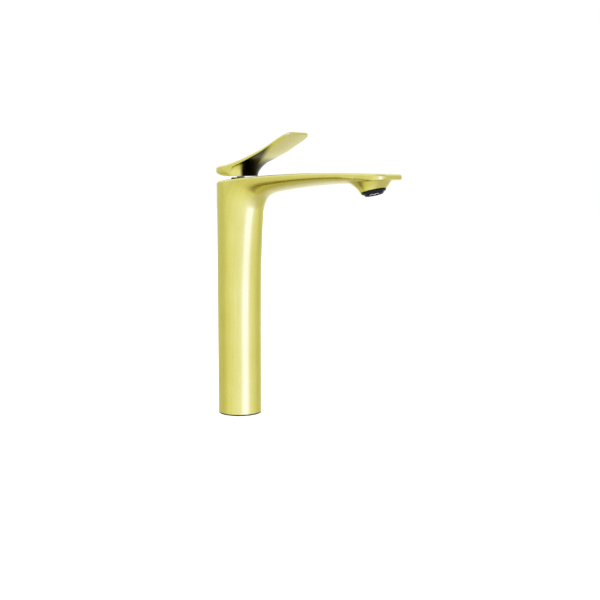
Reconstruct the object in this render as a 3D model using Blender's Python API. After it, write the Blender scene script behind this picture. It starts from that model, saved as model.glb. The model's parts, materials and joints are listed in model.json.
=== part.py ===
"""A tall single-lever basin mixer, modelled as the assembly that it really is.

Units are metres and +Z is up.  The origin is the middle of the column's foot, at the deck.
The spout runs along +X, and the hot side is +Y.
"""
import math

import bmesh
import bpy
import numpy as np
from mathutils import Matrix, Vector

# ---------------------------------------------------------------- driving dimensions
COLUMN_RADIUS = 0.0230
GASKET_HEIGHT = 0.0015          # the rubber foot ring lifts the casting off the deck
BORE_RADIUS = 0.0190            # the column is a hollow casting
BORE_TOP = 0.1940
GAP = 0.0003                    # clearance between neighbouring pieces

TOP_CROWN_X = 0.1280            # highest point of the long, gently arched top face
TOP_CROWN_Z = 0.2528
TOP_FALL = 0.40                 # the top face falls by this times the distance squared
EDGE_RADIUS = 0.0008            # rounding of the top face's rim

SPOUT_TIP = 0.1875
TIP_CORNER = 0.0110
PLATE_EDGE = 0.0024             # height of the upright rim along the spout, over its round belly
TIP_EDGE = 0.0042               # and at its tip, where the plate is thin
FAN_X = 0.0600                  # the sections turn about this point under the spout
FAN_Z = 0.1950

# front of the column, its sweep into the spout, and the spout's underside
FRONT_LINE = (
    (0.0230, 0.0015), (0.0230, 0.0600), (0.0231, 0.1000), (0.0240, 0.1500), (0.0257, 0.1850),
    (0.0276, 0.2080), (0.0298, 0.2190), (0.0345, 0.2280), (0.0430, 0.2325), (0.0550, 0.2351),
    (0.0830, 0.2388), (0.1170, 0.2419), (0.1400, 0.2428), (0.1600, 0.2436), (0.1875, 0.2467),
)

OUTLET_X = 0.1655               # middle of the aerator boss's rim
OUTLET_Z = 0.2359
OUTLET_TILT = math.radians(14.0)
BOSS_RIM = 0.0129
BOSS_CONE = 0.27                # the boss widens by this much per metre above its rim
BOSS_FLARE = 36.0               # and by this times the height squared
BOSS_FRONT_CONE = 1.2           # it runs out this much faster towards the spout's tip
BOSS_BLEND = 0.0020
BOSS_START = 0.1320
BOSS_GROWN = 0.0030             # drop below the spout at which the boss has its full flank
BOSS_FLANK_POWER = 1.5
BELLY_START = 0.0300            # along the front line, where the round column's section turns
BELLY_END = 0.0750              # into the rimmed one
FULL_WIDTH_BLEND = 0.0180       # the full-width line leaves the column for the rim over this
SPOUT_ROOT = 0.0340
OUTLET_BORE = 0.0120
OUTLET_BORE_DEPTH = 0.0105

VALVE_X = 0.0030                # the cartridge stands a little ahead of the column's axis
SEAT_Z = 0.2060
CHAMBER_RADIUS = 0.0128
NUT_BORE_RADIUS = 0.0153
NUT_BORE_FLOOR = 0.2360
PIVOT_Z = 0.2310                # the stem's pin, about which the lever lifts
CUT_OVER = 0.0010               # how far a cutter reaches past the face that it opens

PORT_X = -0.0016                # the two supply lines
PORT_Y = 0.0066
OUTLET_PORT_X = 0.0100
PORT_RADIUS = 0.0028
OUTLET_PORT_RADIUS = 0.0034
PIPE_RADIUS = 0.0040
PIPE_BORE = 0.0030
PIPE_SEAT_LOW = 0.0165          # where each pipe stops, in the base block and under the seat
PIPE_SEAT_HIGH = 0.2005
SEAL_POCKET = 0.0056            # radius of the pocket around a pipe that holds its O-ring
SEAL_POCKET_LOW = 0.0025        # depth of that pocket in the base block, and in the casting
SEAL_POCKET_HIGH = 0.0022
PIPE_SEAL = 0.0012              # thickness of the pipes' O-rings
INLET_THREAD_RADIUS = 0.0045    # M10 x 1, for the flexible supply hoses
INLET_THREAD_DEPTH = 0.0120
INLET_CONE = 0.0008
STUD_X = 0.0105                 # M8, for the fixing stud under the deck
STUD_RADIUS = 0.0040
STUD_DEPTH = 0.0160

OUTLET_PORT_FLOOR = 0.2010      # the outlet's way from the seat to the spout
POCKET_LOW = (0.0052, -0.0048, 0.1975)
POCKET_HIGH = (0.0226, 0.0048, 0.2030)
RISER_LOW = (0.0200, -0.0052, 0.1970)
RISER_HIGH = (0.0240, 0.0052, 0.2425)
WATER_LINE = ((0.0212, 0.2413), (0.0600, 0.2440), (0.1200, 0.2473), (0.1620, 0.2478))
WATER_HALF_WIDTH = 0.0055
WATER_HALF_HEIGHT = 0.0026

GASKET_INNER = 0.0163
GASKET_OUTER = 0.0222
BLOCK_TOP = 0.0220
BLOCK_NECK = 0.0155
BLOCK_STEP = 0.0068
BLOCK_GROOVE = (0.0170, 0.0100, 0.0127)     # radius, low and high
BLOCK_SEAL = 0.0015
RETAINER_GROOVE = (0.0200, 0.0044, 0.0064)  # in the casting's bore: radius, low and high
RETAINER = (0.0160, 0.0196, 0.0046, 0.0062)     # inner, outer, low and high
RETAINER_OPENING = math.radians(24.0)
RETAINER_STEPS = 28

# the cartridge's stack above its seat, each piece a gap above the one below it
PORT_SEAL_LOW = SEAT_Z + GAP
PORT_SEAL_HIGH = PORT_SEAL_LOW + 0.0009
PORT_SEAL_INNER = 0.0001        # the seals' inner and outer radius, beyond their ports'
PORT_SEAL_OUTER = 0.0012
CARTRIDGE_RADIUS = CHAMBER_RADIUS - 0.0004
CARTRIDGE_LOW = PORT_SEAL_HIGH + GAP
CARTRIDGE_FLOOR = CARTRIDGE_LOW + 0.0050
FIXED_DISC_LOW = CARTRIDGE_FLOOR + GAP
FIXED_DISC_HIGH = FIXED_DISC_LOW + 0.0030
FIXED_DISC_RADIUS = 0.0110
FIXED_DISC_INLET = 0.0022
FIXED_DISC_OUTLET = 0.0030
MOVING_DISC_LOW = FIXED_DISC_HIGH + GAP
MOVING_DISC_HIGH = MOVING_DISC_LOW + 0.0029
MOVING_DISC_RADIUS = 0.0085
DISC_HOLLOW_BACK = -0.0015      # the hollow under the moving disc that joins inlets and outlet
DISC_HOLLOW_FRONT = 0.0062
DISC_HOLLOW_HALF = 0.0050
DISC_HOLLOW_DEPTH = 0.0016
DISC_REST_SHIFT = -0.0010       # the moving disc rests a little behind the cartridge's axis
CARRIER_LOW = MOVING_DISC_HIGH + GAP
CARRIER_HIGH = CARRIER_LOW + 0.0045
CARRIER_RADIUS = 0.0080
CARRIER_SOCKET = 0.0025
CARRIER_FLOOR = 0.0004
GUIDE_LOW = 0.2250
GUIDE_SHOULDER = 0.2353
GUIDE_TOP = 0.2400
GUIDE_RADIUS = 0.0109
GUIDE_NECK = 0.0079
SLOT_BACK = 0.0064              # the guide's slot, behind and ahead of the stem's middle
SLOT_FRONT = 0.0054
HOUSING_BORE = 0.0113
HOUSING_LIP = 0.0082
HOUSING_LIP_Z = GUIDE_SHOULDER + GAP
HOUSING_TOP = 0.2385
LIMIT_RING = (0.0083, 0.0105, 0.0014)       # inner, outer and height
NUT_LOW = HOUSING_TOP + GAP
NUT_TOP = 0.2438
NUT_INNER = 0.0109
NUT_NOTCH_HALF = 0.0015
NUT_NOTCH_DEPTH = 0.0018
NUT_NOTCHES = 3                 # cuts right across, for a pin spanner
CAP_LOW = NUT_TOP + GAP
CAP_PROFILE = (                 # radius, and height above the cap's underside
    (0.0103, 0.0), (0.0149, 0.0), (0.0149, 0.0007), (0.0115, 0.0011),
    (0.0112, 0.0031), (0.0104, 0.0042), (0.0094, 0.0047), (0.0084, 0.0047),
    (0.0084, 0.0037), (0.0099, 0.0027), (0.0103, 0.0017),
)

STEM_HALF = 0.0028
STEM_TOP = 0.2587
STEM_CHAMFER = 0.0006
STEM_TIP_Z = 0.2218             # middle of the ball that drives the disc carrier
STEM_BALL = 0.0021
STEM_NECK = (0.0016, 0.2240)    # radius and height of the neck above the ball
STEM_SQUARE_Z = 0.2262
PIN_RADIUS = 0.0010
PIN_HALF = 0.0104
PIN_HOLE = PIN_RADIUS + GAP

LEVER_WIDTH = 0.0420
LEVER_BACK_CENTRE = -0.0030     # middle of the lever's round back end
LEVER_TIP = 0.0785
LEVER_TIP_CORNER = 0.0100
LEVER_FOOT_RADIUS = 0.0178
LEVER_FOOT_Z = 0.2502
LEVER_EDGE_BACK = 0.0046        # edge height at the back, thinning to the tip
LEVER_EDGE_TIP = 0.0014
LEVER_BELLY = 0.0012
LEVER_THIN_FROM = 0.0060        # the edge thins from here to the tip, a little faster at first
LEVER_THIN_POWER = 0.8
LEVER_TOP_LINE = (
    (-0.0240, 0.2592), (-0.0120, 0.2603), (0.0000, 0.2619), (0.0066, 0.2635), (0.0198, 0.2674),
    (0.0455, 0.2769), (0.0635, 0.2855), (0.0715, 0.2897), (0.0785, 0.2934),
)

LEVER_SCREW_Z = 0.2567          # the grub screw that holds the lever on its stem, from behind
LEVER_SCREW_HOLE = 0.0020
LEVER_SCREW_LENGTH = 0.0070
LEVER_SCREW_CHAMFER = 0.0003
HEX_SOCKET = 0.0009
HEX_DEPTH = 0.0025
PLUG_INSET = 0.0001
PLUG_LENGTH = 0.0035
PLUG_CHAMFER = 0.0004
LEVER_HOLLOW = (0.0143, 0.2480, 0.2532)     # of the foot, over the cap: radius, low and high
LEVER_SOCKET_Z = 0.2520
LEVER_BOWL_SLOPE = 0.35         # how directly the round back rises from the foot
LEVER_SCOOP = 0.0160            # reach of the hollow sweep from foot to blade
LEVER_SCOOP_SHARE = 0.85        # and at most this share of the way to the edge
LEVER_SCOOP_FROM = 68.0         # headings, in degrees from +X, between which the hollow front
LEVER_SCOOP_TO = 96.0           # of the foot turns into the full round back

# aerator, in heights along its own axis, upwards from the boss's rim
AERATOR_PROFILE = (             # radius and height
    (0.0078, -0.0040), (0.0088, -0.0040), (0.0093, -0.0028), (0.0114, -0.0017),
    (0.0121, -0.0010), (0.0121, -GAP), (0.0116, -GAP), (0.0116, 0.0070), (0.0078, 0.0070),
)
INSERT_INNER = 0.0062
INSERT_OUTER = 0.0075
INSERT_LOW = -0.0035
INSERT_HIGH = 0.0058
SCREEN_RADIUS = INSERT_INNER - GAP
SCREEN_LOW = -0.0029
SCREEN_HIGH = -0.0022
SCREEN_HOLE = 0.0013
SCREEN_RING = 0.0036
SCREEN_RING_HOLES = 6
REGULATOR_LOW = 0.0030
REGULATOR_HIGH = 0.0052
REGULATOR_THROAT = 0.0030
AERATOR_SEAL = (0.0086, 0.0116, 0.0073, 0.0090)     # inner, outer, low and high

# how finely the cast surfaces are divided
COLUMN_LEVELS = 5
BACK_LEVELS = 4
BACK_ARC_STEPS = 7
SWEEP_STEPS = 6
SPOUT_STEPS = 5
BOSS_LEAD_STEPS = 6
BOSS_STEPS = 10
BOSS_SCAN_LEVELS = 400          # heights tried when looking for the boss's lowest point
TIP_STEPS = 4
FRONT_ROWS = (8, 1)             # belly and rim rows of a section
BACK_ROWS = 4
FILLET_ROWS = 1
ACROSS_STEPS = 4
LEVER_END_STEPS = 2
LEVER_CORNER_STEPS = 4
LEVER_SIDE_STEPS = 11
LEVER_BACK_STEPS = 6
LEVER_NECK_ROWS = 4
LEVER_BLADE_ROWS = 2
ROUND_SEGMENTS = 24
COLLAR_SEGMENTS = 28
GASKET_SEGMENTS = 32
PORT_SEGMENTS = 20
SMALL_SEGMENTS = 16


# ---------------------------------------------------------------- scene and materials
def clear_scene():
    for item in list(bpy.data.objects):
        bpy.data.objects.remove(item, do_unlink=True)


def make_material(name, colour, roughness, metallic):
    material = bpy.data.materials.new(name)
    material.use_nodes = True
    shader = material.node_tree.nodes["Principled BSDF"]
    shader.inputs["Base Color"].default_value = (*colour, 1.0)
    shader.inputs["Roughness"].default_value = roughness
    shader.inputs["Metallic"].default_value = metallic
    material.diffuse_color = (*colour, 1.0)
    return material


FINISHES = {
    "gold": ((0.72, 0.62, 0.22), 0.30, 1.0),
    "black": ((0.010, 0.011, 0.012), 0.38, 0.0),
    "rubber": ((0.015, 0.015, 0.016), 0.75, 0.0),
    "raw_brass": ((0.55, 0.42, 0.16), 0.38, 1.0),
    "steel": ((0.62, 0.62, 0.63), 0.30, 1.0),
    "ceramic": ((0.86, 0.85, 0.82), 0.18, 0.0),
    "white_plastic": ((0.80, 0.80, 0.78), 0.45, 0.0),
    "grey_plastic": ((0.22, 0.23, 0.24), 0.50, 0.0),
    "red_plastic": ((0.55, 0.03, 0.02), 0.45, 0.0),
}


def finish(item, kind):
    """Give the piece a material of its own, in one of the finishes above."""
    item.data.materials.append(make_material(item.name + "_" + kind, *FINISHES[kind]))


# ---------------------------------------------------------------- mesh helpers
class Skin:
    """Faces of one closed body; points that coincide are welded as they are added."""

    WELD = 2.0e-6

    def __init__(self):
        self.points = []
        self.known = {}
        self.faces = []

    def point(self, place):
        key = tuple(round(c / self.WELD) for c in place)
        if key not in self.known:
            self.known[key] = len(self.points)
            self.points.append(tuple(place))
        return self.known[key]

    def face(self, places):
        corners = []
        for place in places:
            number = self.point(place)
            if number not in corners:
                corners.append(number)
        if len(corners) >= 3:
            self.faces.append(corners)

    def grid(self, rows):
        for low, high in zip(rows, rows[1:]):
            for k in range(len(low) - 1):
                self.face((low[k], low[k + 1], high[k + 1], high[k]))

    def stitch(self, first, second):
        """A strip of triangles between two lines of points of different counts."""
        i = j = 0
        while i < len(first) - 1 or j < len(second) - 1:
            ahead = (i + 1) / (len(first) - 1)
            other = (j + 1) / (len(second) - 1)
            if j == len(second) - 1 or (i < len(first) - 1 and ahead <= other):
                self.face((first[i], first[i + 1], second[j]))
                i += 1
            else:
                self.face((first[i], second[j + 1], second[j]))
                j += 1

    def build(self, name, sharp_angle=35.0):
        mesh = bpy.data.meshes.new(name)
        mesh.from_pydata(self.points, [], self.faces)
        tidy = bmesh.new()
        tidy.from_mesh(mesh)
        loose = [v for v in tidy.verts if not v.link_faces]
        bmesh.ops.delete(tidy, geom=loose, context="VERTS")
        bmesh.ops.recalc_face_normals(tidy, faces=tidy.faces)
        if tidy.calc_volume(signed=True) < 0.0:
            bmesh.ops.reverse_faces(tidy, faces=tidy.faces)
        tidy.to_mesh(mesh)
        tidy.free()
        return place_mesh(mesh, name, sharp_angle)


def place_mesh(mesh, name, sharp_angle=35.0):
    mesh.shade_smooth()
    mesh.set_sharp_from_angle(angle=math.radians(sharp_angle))
    item = bpy.data.objects.new(name, mesh)
    bpy.context.scene.collection.objects.link(item)
    return item


def turned(name, profile, segments=ROUND_SEGMENTS, sharp_angle=35.0):
    """A body of revolution about Z from a closed outline of (radius, height) points."""
    skin = Skin()
    rings = []
    for step in range(segments + 1):
        angle = 2.0 * math.pi * (step % segments) / segments
        rings.append([(r * math.cos(angle), r * math.sin(angle), z) for r, z in profile])
    if profile[0][0] > 0.0:
        rings = [ring + [ring[0]] for ring in rings]
    skin.grid(rings)
    return skin.build(name, sharp_angle)


def disc(name, radius, low, high, segments=ROUND_SEGMENTS, bevel=0.0):
    profile = ((0.0, low), (radius - bevel, low), (radius, low + bevel),
               (radius, high - bevel), (radius - bevel, high), (0.0, high))
    return turned(name, profile, segments)


def ring(name, inner, outer, low, high, segments=ROUND_SEGMENTS, bevel=0.0):
    profile = ((inner, low + bevel), (inner + bevel, low), (outer - bevel, low), (outer, low + bevel),
               (outer, high - bevel), (outer - bevel, high), (inner + bevel, high), (inner, high - bevel))
    return turned(name, profile, segments)


def o_ring(name, middle, thickness, height, segments=ROUND_SEGMENTS, sides=6):
    profile = []
    for side in range(sides):
        angle = 2.0 * math.pi * side / sides
        profile.append((middle + thickness / 2 * math.cos(angle),
                        height + thickness / 2 * math.sin(angle)))
    return turned(name, profile, segments)


def box(name, low, high):
    skin = Skin()
    (x0, y0, z0), (x1, y1, z1) = low, high
    base = [(x0, y0, z0), (x1, y0, z0), (x1, y1, z0), (x0, y1, z0)]
    roof = [(x, y, z1) for x, y, z in base]
    skin.face(base)
    skin.face(roof)
    for a in range(4):
        b = (a + 1) % 4
        skin.face((base[a], base[b], roof[b], roof[a]))
    return skin.build(name)


def oval_tube(name, route, half_width, half_height, segments=SMALL_SEGMENTS):
    """A solid of oval section along a route in the XZ plane, used for the water channel."""
    skin = Skin()
    rings = []
    for x, z in route:
        loop = []
        for step in range(segments + 1):
            angle = 2.0 * math.pi * (step % segments) / segments
            loop.append((x, half_width * math.cos(angle), z + half_height * math.sin(angle)))
        rings.append(loop)
    skin.grid(rings)
    skin.face(rings[0][:-1])
    skin.face(rings[-1][:-1])
    return skin.build(name)


def moved(item, matrix):
    """Bake a placement into the mesh, so that the object's own origin stays free."""
    item.data.transform(matrix)
    return item


def at(x, y=0.0, z=0.0):
    return Matrix.Translation((x, y, z))


def across(x, y=0.0, z=0.0):
    """Placement that lays a piece made along Z down along Y."""
    return at(x, y, z) @ Matrix.Rotation(math.pi / 2, 4, "X")


def lengthwise(z):
    """Placement that lays a piece made along Z down along X, at a height."""
    return at(0.0, 0.0, z) @ Matrix.Rotation(math.pi / 2, 4, "Y")


def cut(item, *cutters):
    """Cut the cutters away from the piece with Boolean modifiers and keep them as guides."""
    for cutter in cutters:
        cutter.hide_render = True
        cutter.display_type = "WIRE"
        step = item.modifiers.new("cut_" + cutter.name, "BOOLEAN")
        step.operation = "DIFFERENCE"
        step.solver = "EXACT"
        step.object = cutter
    return item


# ---------------------------------------------------------------- shape of the casting
def smooth_curve(points, per_span=16):
    """Points on a smooth curve through the given ones (centripetal Catmull-Rom)."""
    route = [Vector(p) for p in points]
    route = [route[0] * 2 - route[1]] + route + [route[-1] * 2 - route[-2]]
    dense = []
    for a, b, c, d in zip(route, route[1:], route[2:], route[3:]):
        t0 = 0.0
        t1 = t0 + math.sqrt((b - a).length)
        t2 = t1 + math.sqrt((c - b).length)
        t3 = t2 + math.sqrt((d - c).length)
        for step in range(per_span):
            t = t1 + (t2 - t1) * step / per_span
            ab = a.lerp(b, (t - t0) / (t1 - t0))
            bc = b.lerp(c, (t - t1) / (t2 - t1))
            cd = c.lerp(d, (t - t2) / (t3 - t2))
            abc = ab.lerp(bc, (t - t0) / (t2 - t0))
            bcd = bc.lerp(cd, (t - t1) / (t3 - t1))
            dense.append(tuple(abc.lerp(bcd, (t - t1) / (t2 - t1))))
    dense.append(tuple(points[-1]))
    return np.array(dense)


def smoothstep(low, high, value):
    t = min(max((value - low) / (high - low), 0.0), 1.0)
    return t * t * (3.0 - 2.0 * t)


def top_height(x):
    return TOP_CROWN_Z - TOP_FALL * (x - TOP_CROWN_X) ** 2


def plan_half_width(x):
    """Half width of the top face: round at the back, straight sides, rounded tip corners."""
    if x < 0.0:
        return math.sqrt(max(COLUMN_RADIUS ** 2 - x * x, 0.0))
    past = x - (SPOUT_TIP - TIP_CORNER)
    if past <= 0.0:
        return COLUMN_RADIUS
    return COLUMN_RADIUS - TIP_CORNER + math.sqrt(max(TIP_CORNER ** 2 - past * past, 0.0))


def column_section(count):
    """Half of the round column's section as (depth, width) fractions, front to middle."""
    angles = np.linspace(0.0, math.pi / 2, count)
    return 1.0 - np.cos(angles), np.sin(angles)


def spout_section(length, edge):
    """Half of the spout's section: a round belly, with an upright rim above it."""
    belly, rim = FRONT_ROWS
    rim_start = max(1.0 - edge / length, 0.0)
    turn = np.linspace(0.0, math.pi / 2, belly + 1)
    climb = np.linspace(rim_start, 1.0, rim + 1)[1:]
    depth = np.concatenate((rim_start * (1.0 - np.cos(turn)), climb))
    return depth, np.concatenate((np.sin(turn), np.ones(rim)))


def full_width_place(rim_x):
    """Where the section that ends at rim_x on the outline comes to its full width."""
    if abs(rim_x) >= FULL_WIDTH_BLEND:
        return max(rim_x, 0.0)
    return (rim_x + FULL_WIDTH_BLEND) ** 2 / (4.0 * FULL_WIDTH_BLEND)


def boss_radius(height):
    return BOSS_RIM + BOSS_CONE * height + BOSS_FLARE * height * height


def boss_frame(x, z):
    """Distance along the rim's plane and height above it, of a point in the XZ plane."""
    dx = x - OUTLET_X
    dz = z - OUTLET_Z
    along = dx * math.cos(OUTLET_TILT) + dz * math.sin(OUTLET_TILT)
    height = dz * math.cos(OUTLET_TILT) - dx * math.sin(OUTLET_TILT)
    return along, height


def boss_half_width(x, z):
    along, height = boss_frame(x, z)
    if height < -1.0e-9:
        return 0.0
    radius = boss_radius(height)
    if along > 0.0:
        along *= radius / (BOSS_RIM + BOSS_FRONT_CONE * height)
    return math.sqrt(max(radius * radius - along * along, 0.0))


def boss_underside(x, roof):
    """Lowest point of the boss above x, and the rim's half width there."""
    rim_z = OUTLET_Z + (x - OUTLET_X) * math.tan(OUTLET_TILT)
    along = (x - OUTLET_X) / math.cos(OUTLET_TILT)
    if abs(along) <= BOSS_RIM:
        return rim_z, math.sqrt(BOSS_RIM ** 2 - along * along)
    levels = np.linspace(rim_z, roof, BOSS_SCAN_LEVELS)
    for z in levels:
        if boss_half_width(x, z) > 0.0:
            return z, 0.0
    return roof, 0.0


def soft_max(a, b, reach):
    overlap = max(reach - abs(a - b), 0.0) / reach
    return max(a, b) + overlap * overlap * reach / 4.0


class CastBody:
    """Stations along the casting, each a row of points from the front line to the outer rim."""

    def __init__(self):
        self.front = smooth_curve(FRONT_LINE)
        start = np.argmax(self.front[:, 1] >= FAN_Z)
        end = np.argmax(self.front[:, 0] >= FAN_X) + 1
        fan = self.front[start - 1:end + 1]
        self.fan_angle = np.arctan2(fan[:, 1] - FAN_Z, fan[:, 0] - FAN_X)
        self.fan_points = fan
        self.sides = []         # rows of (x, y, z) on the +Y side
        self.rims = []          # outline points of the top face
        self.feet = []          # stations that end on the aerator boss's rim

    def front_at_angle(self, angle):
        order = np.argsort(self.fan_angle)
        x = np.interp(angle, self.fan_angle[order], self.fan_points[order, 0])
        z = np.interp(angle, self.fan_angle[order], self.fan_points[order, 1])
        return float(x), float(z)

    def underside(self, x):
        run = self.front[self.front[:, 0] > SPOUT_ROOT]
        return float(np.interp(x, run[:, 0], run[:, 1]))

    def section(self, front, outer):
        """Points from the front line's point to an outer point on the wall or the rim."""
        (xa, za), (xb, zb) = front, outer
        full_x = full_width_place(xb)
        share = (xa - full_x) / (xa - xb) if full_x > xb else 1.0
        half = plan_half_width(max(xb, 0.0))
        weight = smoothstep(BELLY_START, BELLY_END, xa)
        flat, full = column_section(sum(FRONT_ROWS) + 1)
        deep, wide = spout_section(math.hypot(xb - xa, zb - za) * share, PLATE_EDGE)
        depth = flat * (1.0 - weight) + deep * weight
        width = full * (1.0 - weight) + wide * weight
        row = []
        for d, w in zip(depth, width):
            s = d * share
            row.append((xa + (xb - xa) * s, half * w, za + (zb - za) * s))
        back = math.asin(min(-min(xb, 0.0) / COLUMN_RADIUS, 1.0))
        for step in range(BACK_ROWS + 1):
            angle = back * step / BACK_ROWS
            x = -COLUMN_RADIUS * math.sin(angle) if xb < 0.0 else xb
            width = COLUMN_RADIUS * math.cos(angle) if xb < 0.0 else half
            s = (x - xa) / (xb - xa) if full_x > xb else 1.0
            row.append((x, width, za + (zb - za) * s))
        return row

    def boss_section(self, x):
        """Points of a section through the aerator boss, from its underside to the rim."""
        roof = top_height(x) - EDGE_RADIUS
        floor = self.underside(x)
        half = plan_half_width(x)
        edge = PLATE_EDGE + (TIP_EDGE - PLATE_EDGE) * smoothstep(BOSS_START, SPOUT_TIP, x)
        deep, wide = spout_section(roof - floor, edge)
        levels = floor + deep * (roof - floor)
        low, rim_width = boss_underside(x, roof)
        low = min(low, floor)
        belly_rows = FRONT_ROWS[0]
        rim_low = levels[belly_rows]
        row = []
        for k in range(len(levels)):
            if k < belly_rows:
                share = k / belly_rows
                own = levels[k]
                spread = low + (rim_low - low) * share ** BOSS_FLANK_POWER
                mix = smoothstep(0.0, BOSS_GROWN, floor - low)
                z = own * (1.0 - mix) + spread * mix
            else:
                z = levels[k]
            width = half * float(np.interp(z, levels, wide)) if z >= floor else 0.0
            swell = boss_half_width(x, z)
            if swell > 0.0:
                width = soft_max(width, swell, BOSS_BLEND)
            if k == 0:
                width = rim_width
            row.append((x, min(width, half), z))
        row += [row[-1]] * (BACK_ROWS + 1)
        return row, rim_width, low

    def add_top_station(self, row):
        """A station whose outer point lies on the top face's outline."""
        self.sides.append(row)
        self.rims.append(row[-1])

    def build_stations(self):
        edge = EDGE_RADIUS
        for z in np.linspace(GASKET_HEIGHT, FAN_Z, COLUMN_LEVELS + 1):
            level = GASKET_HEIGHT + (z - GASKET_HEIGHT) ** 0.5 * (FAN_Z - GASKET_HEIGHT) ** 0.5
            x = float(np.interp(level, self.front[:, 1], self.front[:, 0]))
            self.sides.append(self.section((x, level), (-COLUMN_RADIUS, level)))
        corner_z = top_height(-COLUMN_RADIUS) - edge
        for z in np.linspace(FAN_Z, corner_z, BACK_LEVELS + 1)[1:-1]:
            angle = math.atan2(z - FAN_Z, -COLUMN_RADIUS - FAN_X)
            self.sides.append(self.section(self.front_at_angle(angle), (-COLUMN_RADIUS, z)))
        outer = [-COLUMN_RADIUS * math.cos(math.pi / 2 * t / BACK_ARC_STEPS)
                 for t in range(BACK_ARC_STEPS)]
        outer += list(np.linspace(0.0, FAN_X, SWEEP_STEPS + 1))
        for x in outer:
            z = top_height(x) - edge
            angle = math.atan2(z - FAN_Z, x - FAN_X)
            self.add_top_station(self.section(self.front_at_angle(angle), (x, z)))
        for x in np.linspace(FAN_X, BOSS_START, SPOUT_STEPS + 1)[1:]:
            self.add_top_station(self.section((x, self.underside(x)), (x, top_height(x) - edge)))
        for x in self.boss_stations():
            row, rim_width, low = self.boss_section(x)
            self.add_top_station(row)
            if abs(x - OUTLET_X) <= BOSS_RIM * math.cos(OUTLET_TILT) + 1.0e-7:
                self.feet.append((x, rim_width, low))

    def boss_stations(self):
        reach = BOSS_RIM * math.cos(OUTLET_TILT)
        back = list(np.linspace(BOSS_START, OUTLET_X - reach, BOSS_LEAD_STEPS + 1)[1:-1])
        rim = [OUTLET_X - reach * math.cos(math.pi * t / BOSS_STEPS) for t in range(BOSS_STEPS + 1)]
        bend = SPOUT_TIP - TIP_CORNER
        tip = [bend + TIP_CORNER * math.sin(math.pi / 2 * t / TIP_STEPS) for t in range(TIP_STEPS + 1)]
        tip = [x for x in tip if x > OUTLET_X + reach + GAP]
        return back + rim + tip

    def rim_normal(self, number):
        """Outward plan direction of the top face's outline at a rim point."""
        before = self.rims[max(number - 1, 0)]
        after = self.rims[min(number + 1, len(self.rims) - 1)]
        if number == 0:
            return -1.0, 0.0
        run = (after[0] - before[0], after[1] - before[1])
        size = math.hypot(*run)
        return -run[1] / size, run[0] / size


def mirrored(rows):
    return [[(x, -y, z) for x, y, z in row] for row in rows]


def body_casting():
    cast = CastBody()
    cast.build_stations()
    skin = Skin()
    skin.grid(cast.sides)
    skin.grid(mirrored(cast.sides))
    # rounded rim of the top face
    fillets = []
    for number, (x, y, z) in enumerate(cast.rims):
        nx, ny = cast.rim_normal(number)
        row = []
        for step in range(FILLET_ROWS + 1):
            angle = math.pi / 2 * step / FILLET_ROWS
            inset = EDGE_RADIUS * (1.0 - math.cos(angle))
            px = x - nx * inset
            py = max(y - ny * inset, 0.0)
            row.append((px, py, z + EDGE_RADIUS * math.sin(angle)))
        fillets.append(row)
    skin.grid(fillets)
    skin.grid(mirrored(fillets))
    # top face, from rim to rim
    spans = np.linspace(1.0, -1.0, ACROSS_STEPS + 1)
    skin.grid([[(row[-1][0], row[-1][1] * t, row[-1][2]) for t in spans] for row in fillets])
    # flat end face at the tip, whose lower edge follows the belly
    end = cast.sides[-1]
    belly_rows = FRONT_ROWS[0]
    lower = end[:belly_rows + 1]
    upper = end[belly_rows + 1:sum(FRONT_ROWS) + 1] + fillets[-1][1:]
    tip = [[(x, y * t, z) for t in spans] for x, y, z in upper]
    skin.stitch(lower[::-1] + [(x, -y, z) for x, y, z in lower[1:]], tip[0])
    skin.grid(tip)
    # flat face around the aerator
    skin.grid([[(x, width * t, z) for t in spans] for x, width, z in cast.feet])
    # foot of the column
    foot = cast.sides[0]
    skin.grid([[(x, y * t, z) for t in spans] for x, y, z in foot])
    return skin.build("body_casting")


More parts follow.
